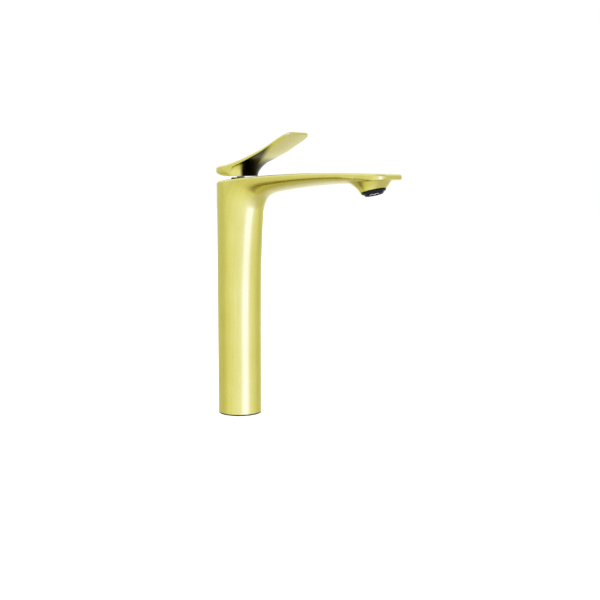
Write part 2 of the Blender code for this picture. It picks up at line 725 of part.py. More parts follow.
# ---------------------------------------------------------------- shape of the lever
class LeverShape:
    """The lever: a thin blade with round corners, growing out of a round foot."""

    def __init__(self):
        self.top_line = smooth_curve(LEVER_TOP_LINE)

    def top(self, x):
        return float(np.interp(x, self.top_line[:, 0], self.top_line[:, 1]))

    def edge(self, x):
        """Height of the blade's upright edge."""
        share = min(max((x - LEVER_THIN_FROM) / (LEVER_TIP - LEVER_THIN_FROM), 0.0), 1.0)
        return LEVER_EDGE_BACK + (LEVER_EDGE_TIP - LEVER_EDGE_BACK) * share ** LEVER_THIN_POWER

    def under(self, x, y):
        """The blade's underside, slightly fuller along its middle."""
        share = min(abs(y) / (LEVER_WIDTH / 2.0), 1.0)
        return self.top(x) - self.edge(x) - LEVER_BELLY * (1.0 - share * share)

    def outline(self):
        """Plan outline of the +Y half, from the tip round to the back."""
        half = LEVER_WIDTH / 2.0
        bend = LEVER_TIP - LEVER_TIP_CORNER
        flat = half - LEVER_TIP_CORNER
        points = [(LEVER_TIP, flat * t / LEVER_END_STEPS) for t in range(LEVER_END_STEPS)]
        for t in range(LEVER_CORNER_STEPS):
            angle = math.pi / 2 * t / LEVER_CORNER_STEPS
            points.append((bend + LEVER_TIP_CORNER * math.cos(angle),
                           flat + LEVER_TIP_CORNER * math.sin(angle)))
        for t in range(LEVER_SIDE_STEPS):
            points.append((bend + (LEVER_BACK_CENTRE - bend) * t / LEVER_SIDE_STEPS, half))
        for t in range(LEVER_BACK_STEPS + 1):
            angle = math.pi / 2 * (1.0 + t / LEVER_BACK_STEPS)
            points.append((LEVER_BACK_CENTRE + half * math.cos(angle), abs(half * math.sin(angle))))
        return points

    def underside_row(self, qx, qy):
        """Points from the foot's rim out to the blade's lower edge, towards an outline point."""
        heading = math.atan2(qy, qx - VALVE_X)
        dx = math.cos(heading)
        dy = math.sin(heading)
        reach = math.hypot(qx - VALVE_X, qy) - LEVER_FOOT_RADIUS
        low = self.under(qx, qy)
        front = 1.0 - smoothstep(math.radians(LEVER_SCOOP_FROM), math.radians(LEVER_SCOOP_TO), heading)
        sweep = min(LEVER_SCOOP, LEVER_SCOOP_SHARE * reach)
        row = []
        for k in range(LEVER_NECK_ROWS + LEVER_BLADE_ROWS + 1):
            turn = math.pi / 2 * min(k / LEVER_NECK_ROWS, 1.0)
            out = sweep * (1.0 - math.cos(turn))
            if k > LEVER_NECK_ROWS:
                out = sweep + (reach - sweep) * (k - LEVER_NECK_ROWS) / LEVER_BLADE_ROWS
            x = VALVE_X + dx * (LEVER_FOOT_RADIUS + out)
            y = dy * (LEVER_FOOT_RADIUS + out)
            z = LEVER_FOOT_Z + (self.under(x, y) - LEVER_FOOT_Z) * math.sin(turn)
            bowl = math.pi / 2 * k / (LEVER_NECK_ROWS + LEVER_BLADE_ROWS)
            out_b = reach * math.sin(bowl)
            xb = VALVE_X + dx * (LEVER_FOOT_RADIUS + out_b)
            yb = dy * (LEVER_FOOT_RADIUS + out_b)
            rise = LEVER_BOWL_SLOPE * math.sin(bowl) + (1.0 - LEVER_BOWL_SLOPE) * (1.0 - math.cos(bowl))
            zb = LEVER_FOOT_Z + (low - LEVER_FOOT_Z) * rise
            row.append((xb + (x - xb) * front, yb + (y - yb) * front, zb + (z - zb) * front))
        return row


def lever_skin():
    shape = LeverShape()
    skin = Skin()
    outline = shape.outline()
    unders = [shape.underside_row(x, y) for x, y in outline]
    skin.grid(unders)
    skin.grid(mirrored(unders))
    rims = []
    for number, (x, y) in enumerate(outline):
        before = outline[max(number - 1, 0)]
        after = outline[min(number + 1, len(outline) - 1)]
        run = (after[0] - before[0], after[1] - before[1])
        size = math.hypot(*run)
        nx, ny = run[1] / size, -run[0] / size
        if number in (0, len(outline) - 1):
            nx, ny = math.copysign(1.0, x), 0.0
        radius = min(EDGE_RADIUS, 0.6 * shape.edge(x))
        row = [(x, y, shape.under(x, y))]
        for step in range(FILLET_ROWS + 1):
            angle = math.pi / 2 * step / FILLET_ROWS
            inset = radius * (1.0 - math.cos(angle))
            px = x - nx * inset
            py = max(y - ny * inset, 0.0)
            row.append((px, py, shape.top(px) - radius + radius * math.sin(angle)))
        rims.append(row)
    skin.grid(rims)
    skin.grid(mirrored(rims))
    spans = np.linspace(1.0, -1.0, ACROSS_STEPS + 1)
    top = [[(row[-1][0], row[-1][1] * t, row[-1][2]) for t in spans] for row in rims]
    end = [row[-1] for row in rims[:LEVER_END_STEPS + 1]]
    skin.stitch([(x, y, z) for x, y, z in reversed(end)] + [(x, -y, z) for x, y, z in end[1:]],
                top[LEVER_END_STEPS + 1])
    skin.grid(top[LEVER_END_STEPS + 1:])
    skin.grid([[(row[0][0], row[0][1] * t, row[0][2]) for t in spans] for row in unders])
    return skin.build("lever")


# ---------------------------------------------------------------- cutters of the casting
def column_bore():
    groove, low, high = RETAINER_GROOVE
    profile = ((0.0, 0.0), (BORE_RADIUS, 0.0), (BORE_RADIUS, low), (groove, low),
               (groove, high), (BORE_RADIUS, high), (BORE_RADIUS, BORE_TOP), (0.0, BORE_TOP))
    return turned("cutter_column_bore", profile)


def valve_chamber():
    roof = LEVER_SOCKET_Z + CUT_OVER
    profile = ((0.0, SEAT_Z), (CHAMBER_RADIUS, SEAT_Z), (CHAMBER_RADIUS, NUT_BORE_FLOOR),
               (NUT_BORE_RADIUS, NUT_BORE_FLOOR), (NUT_BORE_RADIUS, roof), (0.0, roof))
    return moved(turned("cutter_valve_chamber", profile), at(VALVE_X))


def seat_port(name, y):
    """Pipe socket under the seat, with its O-ring pocket, and the port above it."""
    low = BORE_TOP - CUT_OVER
    pocket_top = BORE_TOP + SEAL_POCKET_HIGH
    top = SEAT_Z + CUT_OVER
    profile = ((0.0, low), (SEAL_POCKET, low), (SEAL_POCKET, pocket_top),
               (PIPE_RADIUS + GAP, pocket_top), (PIPE_RADIUS + GAP, PIPE_SEAT_HIGH),
               (PORT_RADIUS, PIPE_SEAT_HIGH), (PORT_RADIUS, top), (0.0, top))
    return moved(turned(name, profile, PORT_SEGMENTS), at(PORT_X, y))


def outlet_passages():
    """Outlet port in the seat, the pocket under it, the riser in front and the spout's channel."""
    sides = 18
    port = disc("cutter_outlet_port", OUTLET_PORT_RADIUS, OUTLET_PORT_FLOOR, SEAT_Z + CUT_OVER, sides)
    # half a side's turn keeps the port's corners off the pocket's walls
    moved(port, at(OUTLET_PORT_X) @ Matrix.Rotation(math.pi / sides, 4, "Z"))
    pocket = box("cutter_outlet_pocket", POCKET_LOW, POCKET_HIGH)
    riser = box("cutter_outlet_riser", RISER_LOW, RISER_HIGH)
    channel = oval_tube("cutter_spout_channel", WATER_LINE, WATER_HALF_WIDTH, WATER_HALF_HEIGHT)
    return port, pocket, riser, channel


def outlet_frame():
    """Placement of the aerator: local Z points into the spout, square to the boss's rim."""
    return at(OUTLET_X, 0.0, OUTLET_Z) @ Matrix.Rotation(-OUTLET_TILT, 4, "Y")


def outlet_bore():
    low = INSERT_LOW - CUT_OVER
    return moved(disc("cutter_outlet_bore", OUTLET_BORE, low, OUTLET_BORE_DEPTH), outlet_frame())


# ---------------------------------------------------------------- column and foot
def make_body_casting():
    body = body_casting()
    cut(body, column_bore(), valve_chamber(), seat_port("cutter_seat_port_hot", PORT_Y),
        seat_port("cutter_seat_port_cold", -PORT_Y), *outlet_passages(), outlet_bore())
    finish(body, "gold")


def make_base_gasket():
    gasket = ring("base_gasket", GASKET_INNER, GASKET_OUTER, 0.0, GASKET_HEIGHT - GAP, GASKET_SEGMENTS)
    finish(gasket, "rubber")


def block_port(name, y):
    """Threaded hose port from below, a waterway, and the pipe's socket from above."""
    low = -CUT_OVER
    top = BLOCK_TOP + CUT_OVER
    pocket = BLOCK_TOP - SEAL_POCKET_LOW
    socket = PIPE_RADIUS + GAP
    profile = ((0.0, low), (INLET_THREAD_RADIUS, low), (INLET_THREAD_RADIUS, INLET_THREAD_DEPTH),
               (PIPE_BORE, INLET_THREAD_DEPTH + INLET_CONE), (PIPE_BORE, PIPE_SEAT_LOW),
               (socket, PIPE_SEAT_LOW), (socket, pocket), (SEAL_POCKET, pocket),
               (SEAL_POCKET, top), (0.0, top))
    return moved(turned(name, profile, PORT_SEGMENTS), at(PORT_X, y))


def make_base_block():
    groove, low, high = BLOCK_GROOVE
    wide = BORE_RADIUS - GAP
    profile = ((0.0, 0.0), (BLOCK_NECK, 0.0), (BLOCK_NECK, BLOCK_STEP), (wide, BLOCK_STEP),
               (wide, low), (groove, low), (groove, high), (wide, high),
               (wide, BLOCK_TOP), (0.0, BLOCK_TOP))
    block = turned("base_block", profile)
    stud = moved(disc("cutter_stud_hole", STUD_RADIUS, -CUT_OVER, STUD_DEPTH, PORT_SEGMENTS), at(STUD_X))
    cut(block, block_port("cutter_block_hot", PORT_Y), block_port("cutter_block_cold", -PORT_Y), stud)
    finish(block, "raw_brass")


def make_base_block_seal():
    groove, low, high = BLOCK_GROOVE
    middle = (groove + BORE_RADIUS) / 2.0
    finish(o_ring("base_block_seal", middle, BLOCK_SEAL, (low + high) / 2.0), "rubber")


def make_retaining_ring():
    """Open spring ring in the groove of the bore, which holds the base block up."""
    skin = Skin()
    inner, outer, low, high = RETAINER
    corners = ((inner, low), (outer, low), (outer, high), (inner, high), (inner, low))
    rows = []
    for step in range(RETAINER_STEPS + 1):
        turn = (2.0 * math.pi - RETAINER_OPENING) * step / RETAINER_STEPS
        angle = math.pi + RETAINER_OPENING / 2.0 + turn
        rows.append([(r * math.cos(angle), r * math.sin(angle), z) for r, z in corners])
    skin.grid(rows)
    skin.face(rows[0][:-1])
    skin.face(rows[-1][:-1])
    finish(skin.build("base_retaining_ring"), "steel")


def make_riser_pipe(side, y):
    pipe = ring("riser_pipe_" + side, PIPE_BORE, PIPE_RADIUS, PIPE_SEAT_LOW + GAP,
                PIPE_SEAT_HIGH - GAP, PORT_SEGMENTS)
    finish(moved(pipe, at(PORT_X, y)), "raw_brass")


def make_pipe_seals(side, y):
    """An O-ring in the middle of each of the two pockets around a supply pipe."""
    middle = (PIPE_RADIUS + SEAL_POCKET) / 2.0
    levels = (("lower", BLOCK_TOP - SEAL_POCKET_LOW / 2.0), ("upper", BORE_TOP + SEAL_POCKET_HIGH / 2.0))
    for level, z in levels:
        seal = o_ring("pipe_seal_" + side + "_" + level, middle, PIPE_SEAL, z, SMALL_SEGMENTS, 5)
        finish(moved(seal, at(PORT_X, y)), "rubber")


# ---------------------------------------------------------------- cartridge
def seat_holes(inlet, outlet):
    """Name, place and radius of the seat's three ports."""
    return (("hot", PORT_X, PORT_Y, inlet), ("cold", PORT_X, -PORT_Y, inlet),
            ("outlet", OUTLET_PORT_X, 0.0, outlet))


def port_cutters(tag, low, high, inlet, outlet):
    cutters = []
    for name, x, y, radius in seat_holes(inlet, outlet):
        cutter = disc("cutter_" + tag + "_" + name, radius, low - CUT_OVER, high + CUT_OVER, SMALL_SEGMENTS)
        cutters.append(moved(cutter, at(x, y)))
    return cutters


def make_port_seals():
    for name, x, y, radius in seat_holes(PORT_RADIUS, OUTLET_PORT_RADIUS):
        seal = ring("port_seal_" + name, radius + PORT_SEAL_INNER, radius + PORT_SEAL_OUTER,
                    PORT_SEAL_LOW, PORT_SEAL_HIGH, PORT_SEGMENTS)
        finish(moved(seal, at(x, y)), "rubber")


def make_cartridge_base():
    base = moved(disc("cartridge_base", CARTRIDGE_RADIUS, CARTRIDGE_LOW, CARTRIDGE_FLOOR), at(VALVE_X))
    cut(base, *port_cutters("base", CARTRIDGE_LOW, CARTRIDGE_FLOOR, PORT_RADIUS, OUTLET_PORT_RADIUS))
    finish(base, "white_plastic")


def make_cartridge_housing():
    profile = ((HOUSING_BORE, FIXED_DISC_LOW), (CARTRIDGE_RADIUS, FIXED_DISC_LOW),
               (CARTRIDGE_RADIUS, HOUSING_TOP), (HOUSING_LIP, HOUSING_TOP),
               (HOUSING_LIP, HOUSING_LIP_Z), (HOUSING_BORE, HOUSING_LIP_Z))
    finish(moved(turned("cartridge_housing", profile), at(VALVE_X)), "white_plastic")


def make_fixed_disc():
    plate = moved(disc("fixed_disc", FIXED_DISC_RADIUS, FIXED_DISC_LOW, FIXED_DISC_HIGH), at(VALVE_X))
    cut(plate, *port_cutters("fixed", FIXED_DISC_LOW, FIXED_DISC_HIGH, FIXED_DISC_INLET, FIXED_DISC_OUTLET))
    finish(plate, "ceramic")


def make_moving_disc():
    middle = VALVE_X + DISC_REST_SHIFT
    plate = moved(disc("moving_disc", MOVING_DISC_RADIUS, MOVING_DISC_LOW, MOVING_DISC_HIGH), at(middle))
    hollow = box("cutter_disc_hollow",
                 (middle + DISC_HOLLOW_BACK, -DISC_HOLLOW_HALF, MOVING_DISC_LOW - CUT_OVER),
                 (middle + DISC_HOLLOW_FRONT, DISC_HOLLOW_HALF, MOVING_DISC_LOW + DISC_HOLLOW_DEPTH))
    finish(cut(plate, hollow), "ceramic")


def make_disc_carrier():
    carrier = moved(disc("disc_carrier", CARRIER_RADIUS, CARRIER_LOW, CARRIER_HIGH),
                    at(VALVE_X + DISC_REST_SHIFT))
    socket = moved(disc("cutter_carrier_socket", CARRIER_SOCKET, CARRIER_LOW + CARRIER_FLOOR,
                        CARRIER_HIGH + CUT_OVER, SMALL_SEGMENTS), at(VALVE_X))
    finish(cut(carrier, socket), "grey_plastic")


def pin_hole(name):
    """Cutter for the cross pin's hole, which goes right through guide and stem."""
    return moved(disc(name, PIN_HOLE, -PIN_HALF - CUT_OVER, PIN_HALF + CUT_OVER, SMALL_SEGMENTS),
                 across(VALVE_X, 0.0, PIVOT_Z))


def make_spindle_guide():
    profile = ((0.0, GUIDE_LOW), (GUIDE_RADIUS, GUIDE_LOW), (GUIDE_RADIUS, GUIDE_SHOULDER),
               (GUIDE_NECK, GUIDE_SHOULDER), (GUIDE_NECK, GUIDE_TOP), (0.0, GUIDE_TOP))
    guide = moved(turned("spindle_guide", profile), at(VALVE_X))
    half = STEM_HALF + GAP
    slot = box("cutter_stem_slot", (VALVE_X - SLOT_BACK, -half, GUIDE_LOW - CUT_OVER),
               (VALVE_X + SLOT_FRONT, half, GUIDE_TOP + CUT_OVER))
    finish(cut(guide, slot, pin_hole("cutter_guide_pin_hole")), "white_plastic")


def make_stem():
    """Square spindle: its ball drives the carrier, its top fits the lever's socket."""
    round_levels = []
    for step in range(1, 5):
        angle = math.pi * step / 6 - math.pi / 2
        round_levels.append((STEM_BALL * math.cos(angle), STEM_TIP_Z + STEM_BALL * math.sin(angle)))
    round_levels.append(STEM_NECK)
    square_levels = ((STEM_HALF, STEM_SQUARE_Z), (STEM_HALF, STEM_TOP - STEM_CHAMFER),
                     (STEM_HALF - STEM_CHAMFER, STEM_TOP))
    rows = []
    for levels, corner in ((round_levels, 1.0), (square_levels, math.sqrt(2.0))):
        for size, z in levels:
            row = []
            for step in range(8):
                angle = math.pi / 4 * step
                reach = size * (corner if step % 2 else 1.0)
                row.append((reach * math.cos(angle), reach * math.sin(angle), z))
            rows.append(row + [row[0]])
    skin = Skin()
    skin.grid(rows)
    skin.face(rows[0][:-1])
    skin.face(rows[-1][:-1])
    stem = moved(skin.build("stem"), at(VALVE_X))
    finish(cut(stem, pin_hole("cutter_stem_pin_hole")), "steel")


def make_stem_pin():
    pin = disc("stem_pin", PIN_RADIUS, -PIN_HALF, PIN_HALF, 12)
    finish(moved(pin, across(VALVE_X, 0.0, PIVOT_Z)), "steel")


def make_limit_ring():
    inner, outer, height = LIMIT_RING
    limit = ring("temperature_limit_ring", inner, outer, NUT_LOW, NUT_LOW + height)
    finish(moved(limit, at(VALVE_X)), "red_plastic")


def make_cartridge_nut():
    nut = moved(ring("cartridge_nut", NUT_INNER, NUT_BORE_RADIUS - GAP, NUT_LOW, NUT_TOP), at(VALVE_X))
    reach = NUT_BORE_RADIUS + CUT_OVER
    notches = []
    for number in range(NUT_NOTCHES):
        notch = box("cutter_nut_notch_%d" % number, (-reach, -NUT_NOTCH_HALF, NUT_TOP - NUT_NOTCH_DEPTH),
                    (reach, NUT_NOTCH_HALF, NUT_TOP + CUT_OVER))
        turn = Matrix.Rotation(math.pi / NUT_NOTCHES * number, 4, "Z")
        notches.append(moved(notch, at(VALVE_X) @ turn))
    finish(cut(nut, *notches), "raw_brass")


def make_trim_cap():
    """Dark domed collar over the nut, open in the middle for the stem's swing."""
    finish(moved(turned("trim_cap", CAP_PROFILE), at(VALVE_X, 0.0, CAP_LOW)), "black")


# ---------------------------------------------------------------- lever
def make_lever():
    hollow = moved(disc("cutter_lever_hollow", *LEVER_HOLLOW), at(VALVE_X))
    reach = STEM_HALF + GAP
    socket = box("cutter_lever_socket", (VALVE_X - reach, -reach, LEVER_SOCKET_Z),
                 (VALVE_X + reach, reach, STEM_TOP + GAP))
    behind = LEVER_BACK_CENTRE - LEVER_WIDTH / 2.0 - CUT_OVER
    screw_hole = disc("cutter_screw_hole", LEVER_SCREW_HOLE, behind, VALVE_X, SMALL_SEGMENTS)
    moved(screw_hole, lengthwise(LEVER_SCREW_Z))
    finish(cut(lever_skin(), hollow, socket, screw_hole), "gold")


def make_grub_screw():
    """Headless screw against the stem, with its hexagon socket facing the way in."""
    end = VALVE_X - STEM_HALF - GAP
    start = end - LEVER_SCREW_LENGTH
    screw = disc("lever_grub_screw", LEVER_SCREW_HOLE - GAP, start, end, SMALL_SEGMENTS, LEVER_SCREW_CHAMFER)
    socket = disc("cutter_hex_socket", HEX_SOCKET, start - CUT_OVER, start + HEX_DEPTH, 6)
    for item in (screw, socket):
        moved(item, lengthwise(LEVER_SCREW_Z))
    finish(cut(screw, socket), "steel")


def make_lever_plug():
    start = LEVER_BACK_CENTRE - LEVER_WIDTH / 2.0 + PLUG_INSET
    plug = disc("lever_plug", LEVER_SCREW_HOLE - GAP, start, start + PLUG_LENGTH, SMALL_SEGMENTS,
                PLUG_CHAMFER)
    finish(moved(plug, lengthwise(LEVER_SCREW_Z)), "gold")


# ---------------------------------------------------------------- aerator
def make_aerator_shells(frame):
    housing = turned("aerator_housing", AERATOR_PROFILE, COLLAR_SEGMENTS)
    finish(moved(housing, frame), "black")
    cup = ((INSERT_INNER, INSERT_LOW), (INSERT_OUTER, INSERT_LOW),
           (INSERT_OUTER, INSERT_HIGH), (INSERT_INNER, INSERT_HIGH))
    finish(moved(turned("aerator_insert", cup, PORT_SEGMENTS), frame), "grey_plastic")
    finish(moved(ring("aerator_seal", *AERATOR_SEAL, COLLAR_SEGMENTS), frame), "rubber")


def make_aerator_screen(frame):
    screen = moved(disc("aerator_screen", SCREEN_RADIUS, SCREEN_LOW, SCREEN_HIGH), frame)
    places = [(0.0, 0.0)]
    for number in range(SCREEN_RING_HOLES):
        angle = 2.0 * math.pi * number / SCREEN_RING_HOLES
        places.append((SCREEN_RING * math.cos(angle), SCREEN_RING * math.sin(angle)))
    holes = []
    for number, (x, y) in enumerate(places):
        hole = disc("cutter_screen_hole_%d" % number, SCREEN_HOLE, SCREEN_LOW - CUT_OVER,
                    SCREEN_HIGH + CUT_OVER, 6)
        holes.append(moved(hole, frame @ at(x, y)))
    finish(cut(screen, *holes), "grey_plastic")


def make_flow_regulator(frame):
    plate = moved(disc("flow_regulator", SCREEN_RADIUS, REGULATOR_LOW, REGULATOR_HIGH), frame)
    throat = disc("cutter_regulator_throat", REGULATOR_THROAT, REGULATOR_LOW - CUT_OVER,
                  REGULATOR_HIGH + CUT_OVER, SMALL_SEGMENTS)
    finish(cut(plate, moved(throat, frame)), "white_plastic")


# ---------------------------------------------------------------- joints
def make_axis(name, place, parent=None):
    empty = bpy.data.objects.new(name, None)
    empty.empty_display_size = 0.01
    bpy.context.scene.collection.objects.link(empty)
    empty.location = Vector(place)
    if parent is not None:
        empty.location -= parent.matrix_world.translation
        empty.parent = parent
    bpy.context.view_layer.update()
    return empty


def hang(names, empty):
    """Parent the named pieces to a joint's empty without moving them."""
    for name in names:
        item = bpy.data.objects[name]
        item.parent = empty
        item.matrix_parent_inverse = empty.matrix_world.inverted()


def main():
    clear_scene()
    make_body_casting()
    make_base_gasket()
    make_base_block()
    make_base_block_seal()
    make_retaining_ring()
    for side, y in (("hot", PORT_Y), ("cold", -PORT_Y)):
        make_riser_pipe(side, y)
        make_pipe_seals(side, y)
    make_cartridge_base()
    make_port_seals()
    make_cartridge_housing()
    make_fixed_disc()
    make_moving_disc()
    make_disc_carrier()
    make_spindle_guide()
    make_stem()
    make_stem_pin()
    make_limit_ring()
    make_cartridge_nut()
    make_trim_cap()
    make_lever()
    make_grub_screw()
    make_lever_plug()
    frame = outlet_frame()
    make_aerator_shells(frame)
    make_aerator_screen(frame)
    make_flow_regulator(frame)
    turn = make_axis("axis_temperature_turn", (VALVE_X, 0.0, GUIDE_LOW))
    lift = make_axis("axis_lever_lift", (VALVE_X, 0.0, PIVOT_Z), turn)
    slide = make_axis("axis_disc_slide", (VALVE_X + DISC_REST_SHIFT, 0.0, MOVING_DISC_HIGH), turn)
    hang(("spindle_guide", "stem_pin"), turn)
    hang(("lever", "stem", "lever_grub_screw", "lever_plug"), lift)
    hang(("moving_disc", "disc_carrier"), slide)


main()
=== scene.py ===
import json
from math import asin, atan2, cos, hypot, pi, radians, sin, sqrt, tan

import bmesh
import bpy
import numpy as np
from mathutils import Matrix, Vector


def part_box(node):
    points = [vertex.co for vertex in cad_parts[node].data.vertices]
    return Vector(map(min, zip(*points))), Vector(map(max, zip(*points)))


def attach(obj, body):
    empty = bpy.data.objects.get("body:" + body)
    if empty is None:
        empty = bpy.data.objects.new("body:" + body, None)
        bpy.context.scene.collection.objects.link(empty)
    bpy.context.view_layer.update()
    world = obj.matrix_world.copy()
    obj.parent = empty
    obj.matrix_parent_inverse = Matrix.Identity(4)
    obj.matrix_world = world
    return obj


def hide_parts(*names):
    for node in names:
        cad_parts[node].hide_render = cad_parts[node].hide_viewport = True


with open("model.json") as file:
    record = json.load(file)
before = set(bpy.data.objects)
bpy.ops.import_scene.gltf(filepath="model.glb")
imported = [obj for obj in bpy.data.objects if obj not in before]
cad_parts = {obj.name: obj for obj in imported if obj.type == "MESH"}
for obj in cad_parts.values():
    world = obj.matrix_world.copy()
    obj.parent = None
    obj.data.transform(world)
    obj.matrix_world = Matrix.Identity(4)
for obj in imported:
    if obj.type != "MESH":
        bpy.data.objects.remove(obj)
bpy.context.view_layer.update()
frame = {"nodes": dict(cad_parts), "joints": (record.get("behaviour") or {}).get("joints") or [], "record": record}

# ------------ sizes read from the frame
body_low, body_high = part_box("body_casting")
lever_low, lever_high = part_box("lever")
joints = {joint["name"]: joint for joint in frame["joints"]}
mounts = {mount["name"]: mount for mount in frame["record"]["mounts"]}

GASKET_HEIGHT = body_low.z
COLUMN_RADIUS = body_high.y
SPOUT_TIP = body_high.x
VALVE_X = joints["lever_lift"]["pos_m"][0]      # the cartridge's axis
LEVER_TIP = lever_high.x
LEVER_HALF = lever_high.y
LEVER_BACK_CENTRE = lever_low.x + LEVER_HALF

# the aerator's axis, from the mount on its lower face
AERATOR_FACE_RADIUS = 0.0083    # how far that mount is from the axis
AERATOR_DROP = 0.0040           # how far the aerator hangs below the boss's rim
OUTWARD = Vector(mounts["aerator_face"]["axis"])
OUTLET_TILT = asin(OUTWARD.x)
FORWARD = Vector((cos(OUTLET_TILT), 0.0, sin(OUTLET_TILT)))
AERATOR_FACE = Vector(mounts["aerator_face"]["pos_m"])
OUTLET = AERATOR_FACE - FORWARD * AERATOR_FACE_RADIUS - OUTWARD * AERATOR_DROP

# ------------ shape of the casting
TOP_CROWN_X = 0.1280            # highest point of the long, gently arched top face
TOP_CROWN_Z = body_high.z
TOP_FALL = 0.40                 # the top face falls by this times the distance squared
EDGE_RADIUS = 0.0018            # rounding of the top face's rim
TIP_CORNER = 0.0110             # plan radius of the two corners at the spout's tip
PLATE_EDGE = 0.0014             # height of the upright rim along the spout, over its round belly
TIP_EDGE = 0.0042               # and at its tip, where the plate is thin
BELLY_START = 0.0300            # along the front line, where the round column's section turns
BELLY_END = 0.0750              # into the rimmed one
FULL_WIDTH_BLEND = 0.0180       # the full-width line leaves the column for the rim over this
SPOUT_ROOT = 0.0340             # from here on, each place has one height on the front line
FAN = (0.0600, 0.1950)          # the sections turn about this point under the spout
FRONT_LINE = (                  # the column's front and the spout's underside, at the middle
    (0.0230, 0.0015), (0.0230, 0.0600), (0.0231, 0.1000), (0.0240, 0.1500), (0.0257, 0.1850),
    (0.0276, 0.2080), (0.0298, 0.2190), (0.0345, 0.2280), (0.0430, 0.2325), (0.0550, 0.2351),
    (0.0830, 0.2388), (0.1170, 0.2419), (0.1400, 0.2428), (0.1600, 0.2436), (0.1875, 0.2467),
)
BOSS_RIM = 0.0129               # radius of the boss's flat rim around the aerator
BOSS_CONE = 0.27                # the boss widens by this much per metre above its rim
BOSS_FLARE = 36.0               # and by this times the height squared
BOSS_FRONT_CONE = 1.2           # it runs out this much faster towards the spout's tip
BOSS_BLEND = 0.0020             # reach of the soft joint between boss and spout
BOSS_START = 0.1320             # from here to the tip, the sections run through the boss
BOSS_GROWN = 0.0030             # drop below the spout at which the boss has its full flank
BOSS_FLANK_POWER = 1.5          # above 1, the rows on its flank crowd towards its rim

GAP = 0.0003                    # between neighbouring pieces
CUT_OVER = 0.0010               # how far a cutter reaches past the face that it opens

# the hollows inside the casting
BORE_RADIUS = 0.0190
BORE_TOP = 0.1940
RETAINER_GROOVE = (0.0200, 0.0044, 0.0064)      # radius, low and high
SEAT_Z = 0.2060                                 # where the cartridge stands
CHAMBER_RADIUS = 0.0128
NUT_BORE_RADIUS = 0.0153
NUT_BORE_FLOOR = 0.2360
CHAMBER_ROOF = 0.2530
OUTLET_BORE = 0.0120                            # around the aerator
OUTLET_BORE_DEPTH = 0.0105
PORT_X = -0.0016                                # the two supply lines
PORT_Y = 0.0066
PORT_RADIUS = 0.0028
PIPE_SOCKET = 0.0043
PIPE_SEAT = 0.2005
SEAL_POCKET = (0.0056, 0.0022)                  # radius and depth, around each pipe
OUTLET_PORT = (0.0100, 0.0034, 0.2010)          # X, radius and floor
POCKET = ((0.0052, -0.0048, 0.1975), (0.0226, 0.0048, 0.2030))
RISER = ((0.0200, -0.0052, 0.1970), (0.0240, 0.0052, 0.2425))
WATER_LINE = ((0.0212, 0.2413), (0.0600, 0.2440), (0.1200, 0.2473), (0.1620, 0.2478))
WATER_OVAL = (0.0055, 0.0026)                   # half width and half height

# ------------ shape of the lever
LEVER_TIP_CORNER = 0.0100       # plan radius of the two corners at the lever's tip
LEVER_FOOT_RADIUS = 0.0178
LEVER_FOOT_Z = lever_low.z
LEVER_EDGE_BACK = 0.0046        # height of the blade's upright edge at its back
LEVER_EDGE_TIP = 0.0014         # and at its tip
LEVER_THIN_FROM = 0.0060        # it thins from here to the tip
LEVER_THIN_POWER = 0.8          # and a little faster at first
LEVER_ROUND_SHARE = 0.6         # the rounding above it takes at most this share of its height
LEVER_BELLY = 0.0012            # the underside is fuller by this along its middle
LEVER_BOWL_SLOPE = 0.35         # how directly the round back rises from the foot
LEVER_SCOOP = 0.0160            # reach of the hollow sweep from foot to blade
LEVER_SCOOP_SHARE = 0.85        # and at most this share of the way to the edge
LEVER_SCOOP_FROM = radians(68.0)    # headings from +X, between which the hollow front of the
LEVER_SCOOP_TO = radians(96.0)      # foot turns into the full round back
LEVER_TOP_LINE = (
    (-0.0240, 0.2592), (-0.0120, 0.2603), (0.0000, 0.2619), (0.0066, 0.2635), (0.0198, 0.2674),
    (0.0455, 0.2769), (0.0635, 0.2855), (0.0715, 0.2897), (0.0785, 0.2934),
)
LEVER_HOLLOW = (0.0143, 0.2480, 0.2532)     # of the foot, over the collar: radius, low and high
LEVER_SOCKET_Z = 0.2520         # where the square socket for the stem starts

# painted shade on the lever's neck: on its front, and as a painted reflection of that dark neck under the blade
# along the -Y edge
NECK_DARK_HEADING = (radians(43.0), radians(56.0))      # from +X, it ends between these
NECK_DARK_REACH = 0.0310        # where the dark ends under the blade's middle
NECK_DARK_SLANT = 1.25          # it goes on this much further per metre towards the cold edge
NECK_DARK_SOFT = 0.0070         # and fades out over this to either side

STEM_HALF = 0.0028              # half the width of the stem's square
STEM_TOP = 0.2587
SCREW_Z = 0.2567                # the grub screw, from behind
SCREW_HOLE = 0.0020

# ------------ how finely it is divided
COLUMN_LEVELS = 30
BACK_LEVELS = 10
BACK_ARC_STEPS = 26
SWEEP_STEPS = 22
SPOUT_STEPS = 26
BOSS_LEAD_STEPS = 18
BOSS_STEPS = 40
TIP_STEPS = 14
SECTION_ROWS = (30, 3)          # belly and rim rows of a section
STRAIGHT_ROWS = 3
BACK_ROWS = 14
FILLET_ROWS = 8
LEVER_END_STEPS = 10
LEVER_CORNER_STEPS = 12
LEVER_SIDE_STEPS = 44
LEVER_BACK_STEPS = 26
LEVER_NECK_ROWS = 16
LEVER_BLADE_ROWS = 10
BOSS_SCAN_LEVELS = 4000         # heights tried when looking for the boss's lowest point
ROUND_SEGMENTS = 96
SMALL_SEGMENTS = 32
WELD_REACH = 1.0e-6             # points of a skin that are closer than this are one
ON_PLANE = 1.0e-9               # heights this little below the boss's rim are on it
PAST_RIM = 1.0e-7               # stations this little past the rim's ends still count
CARVED_ANGLE = 40.0             # steeper edges stay sharp on the two carved pieces
# places across a flat face, from one edge to the other
SPANS = np.concatenate(([1.0, 0.985], np.linspace(0.93, -0.93, 15), [-0.985, -1.0]))


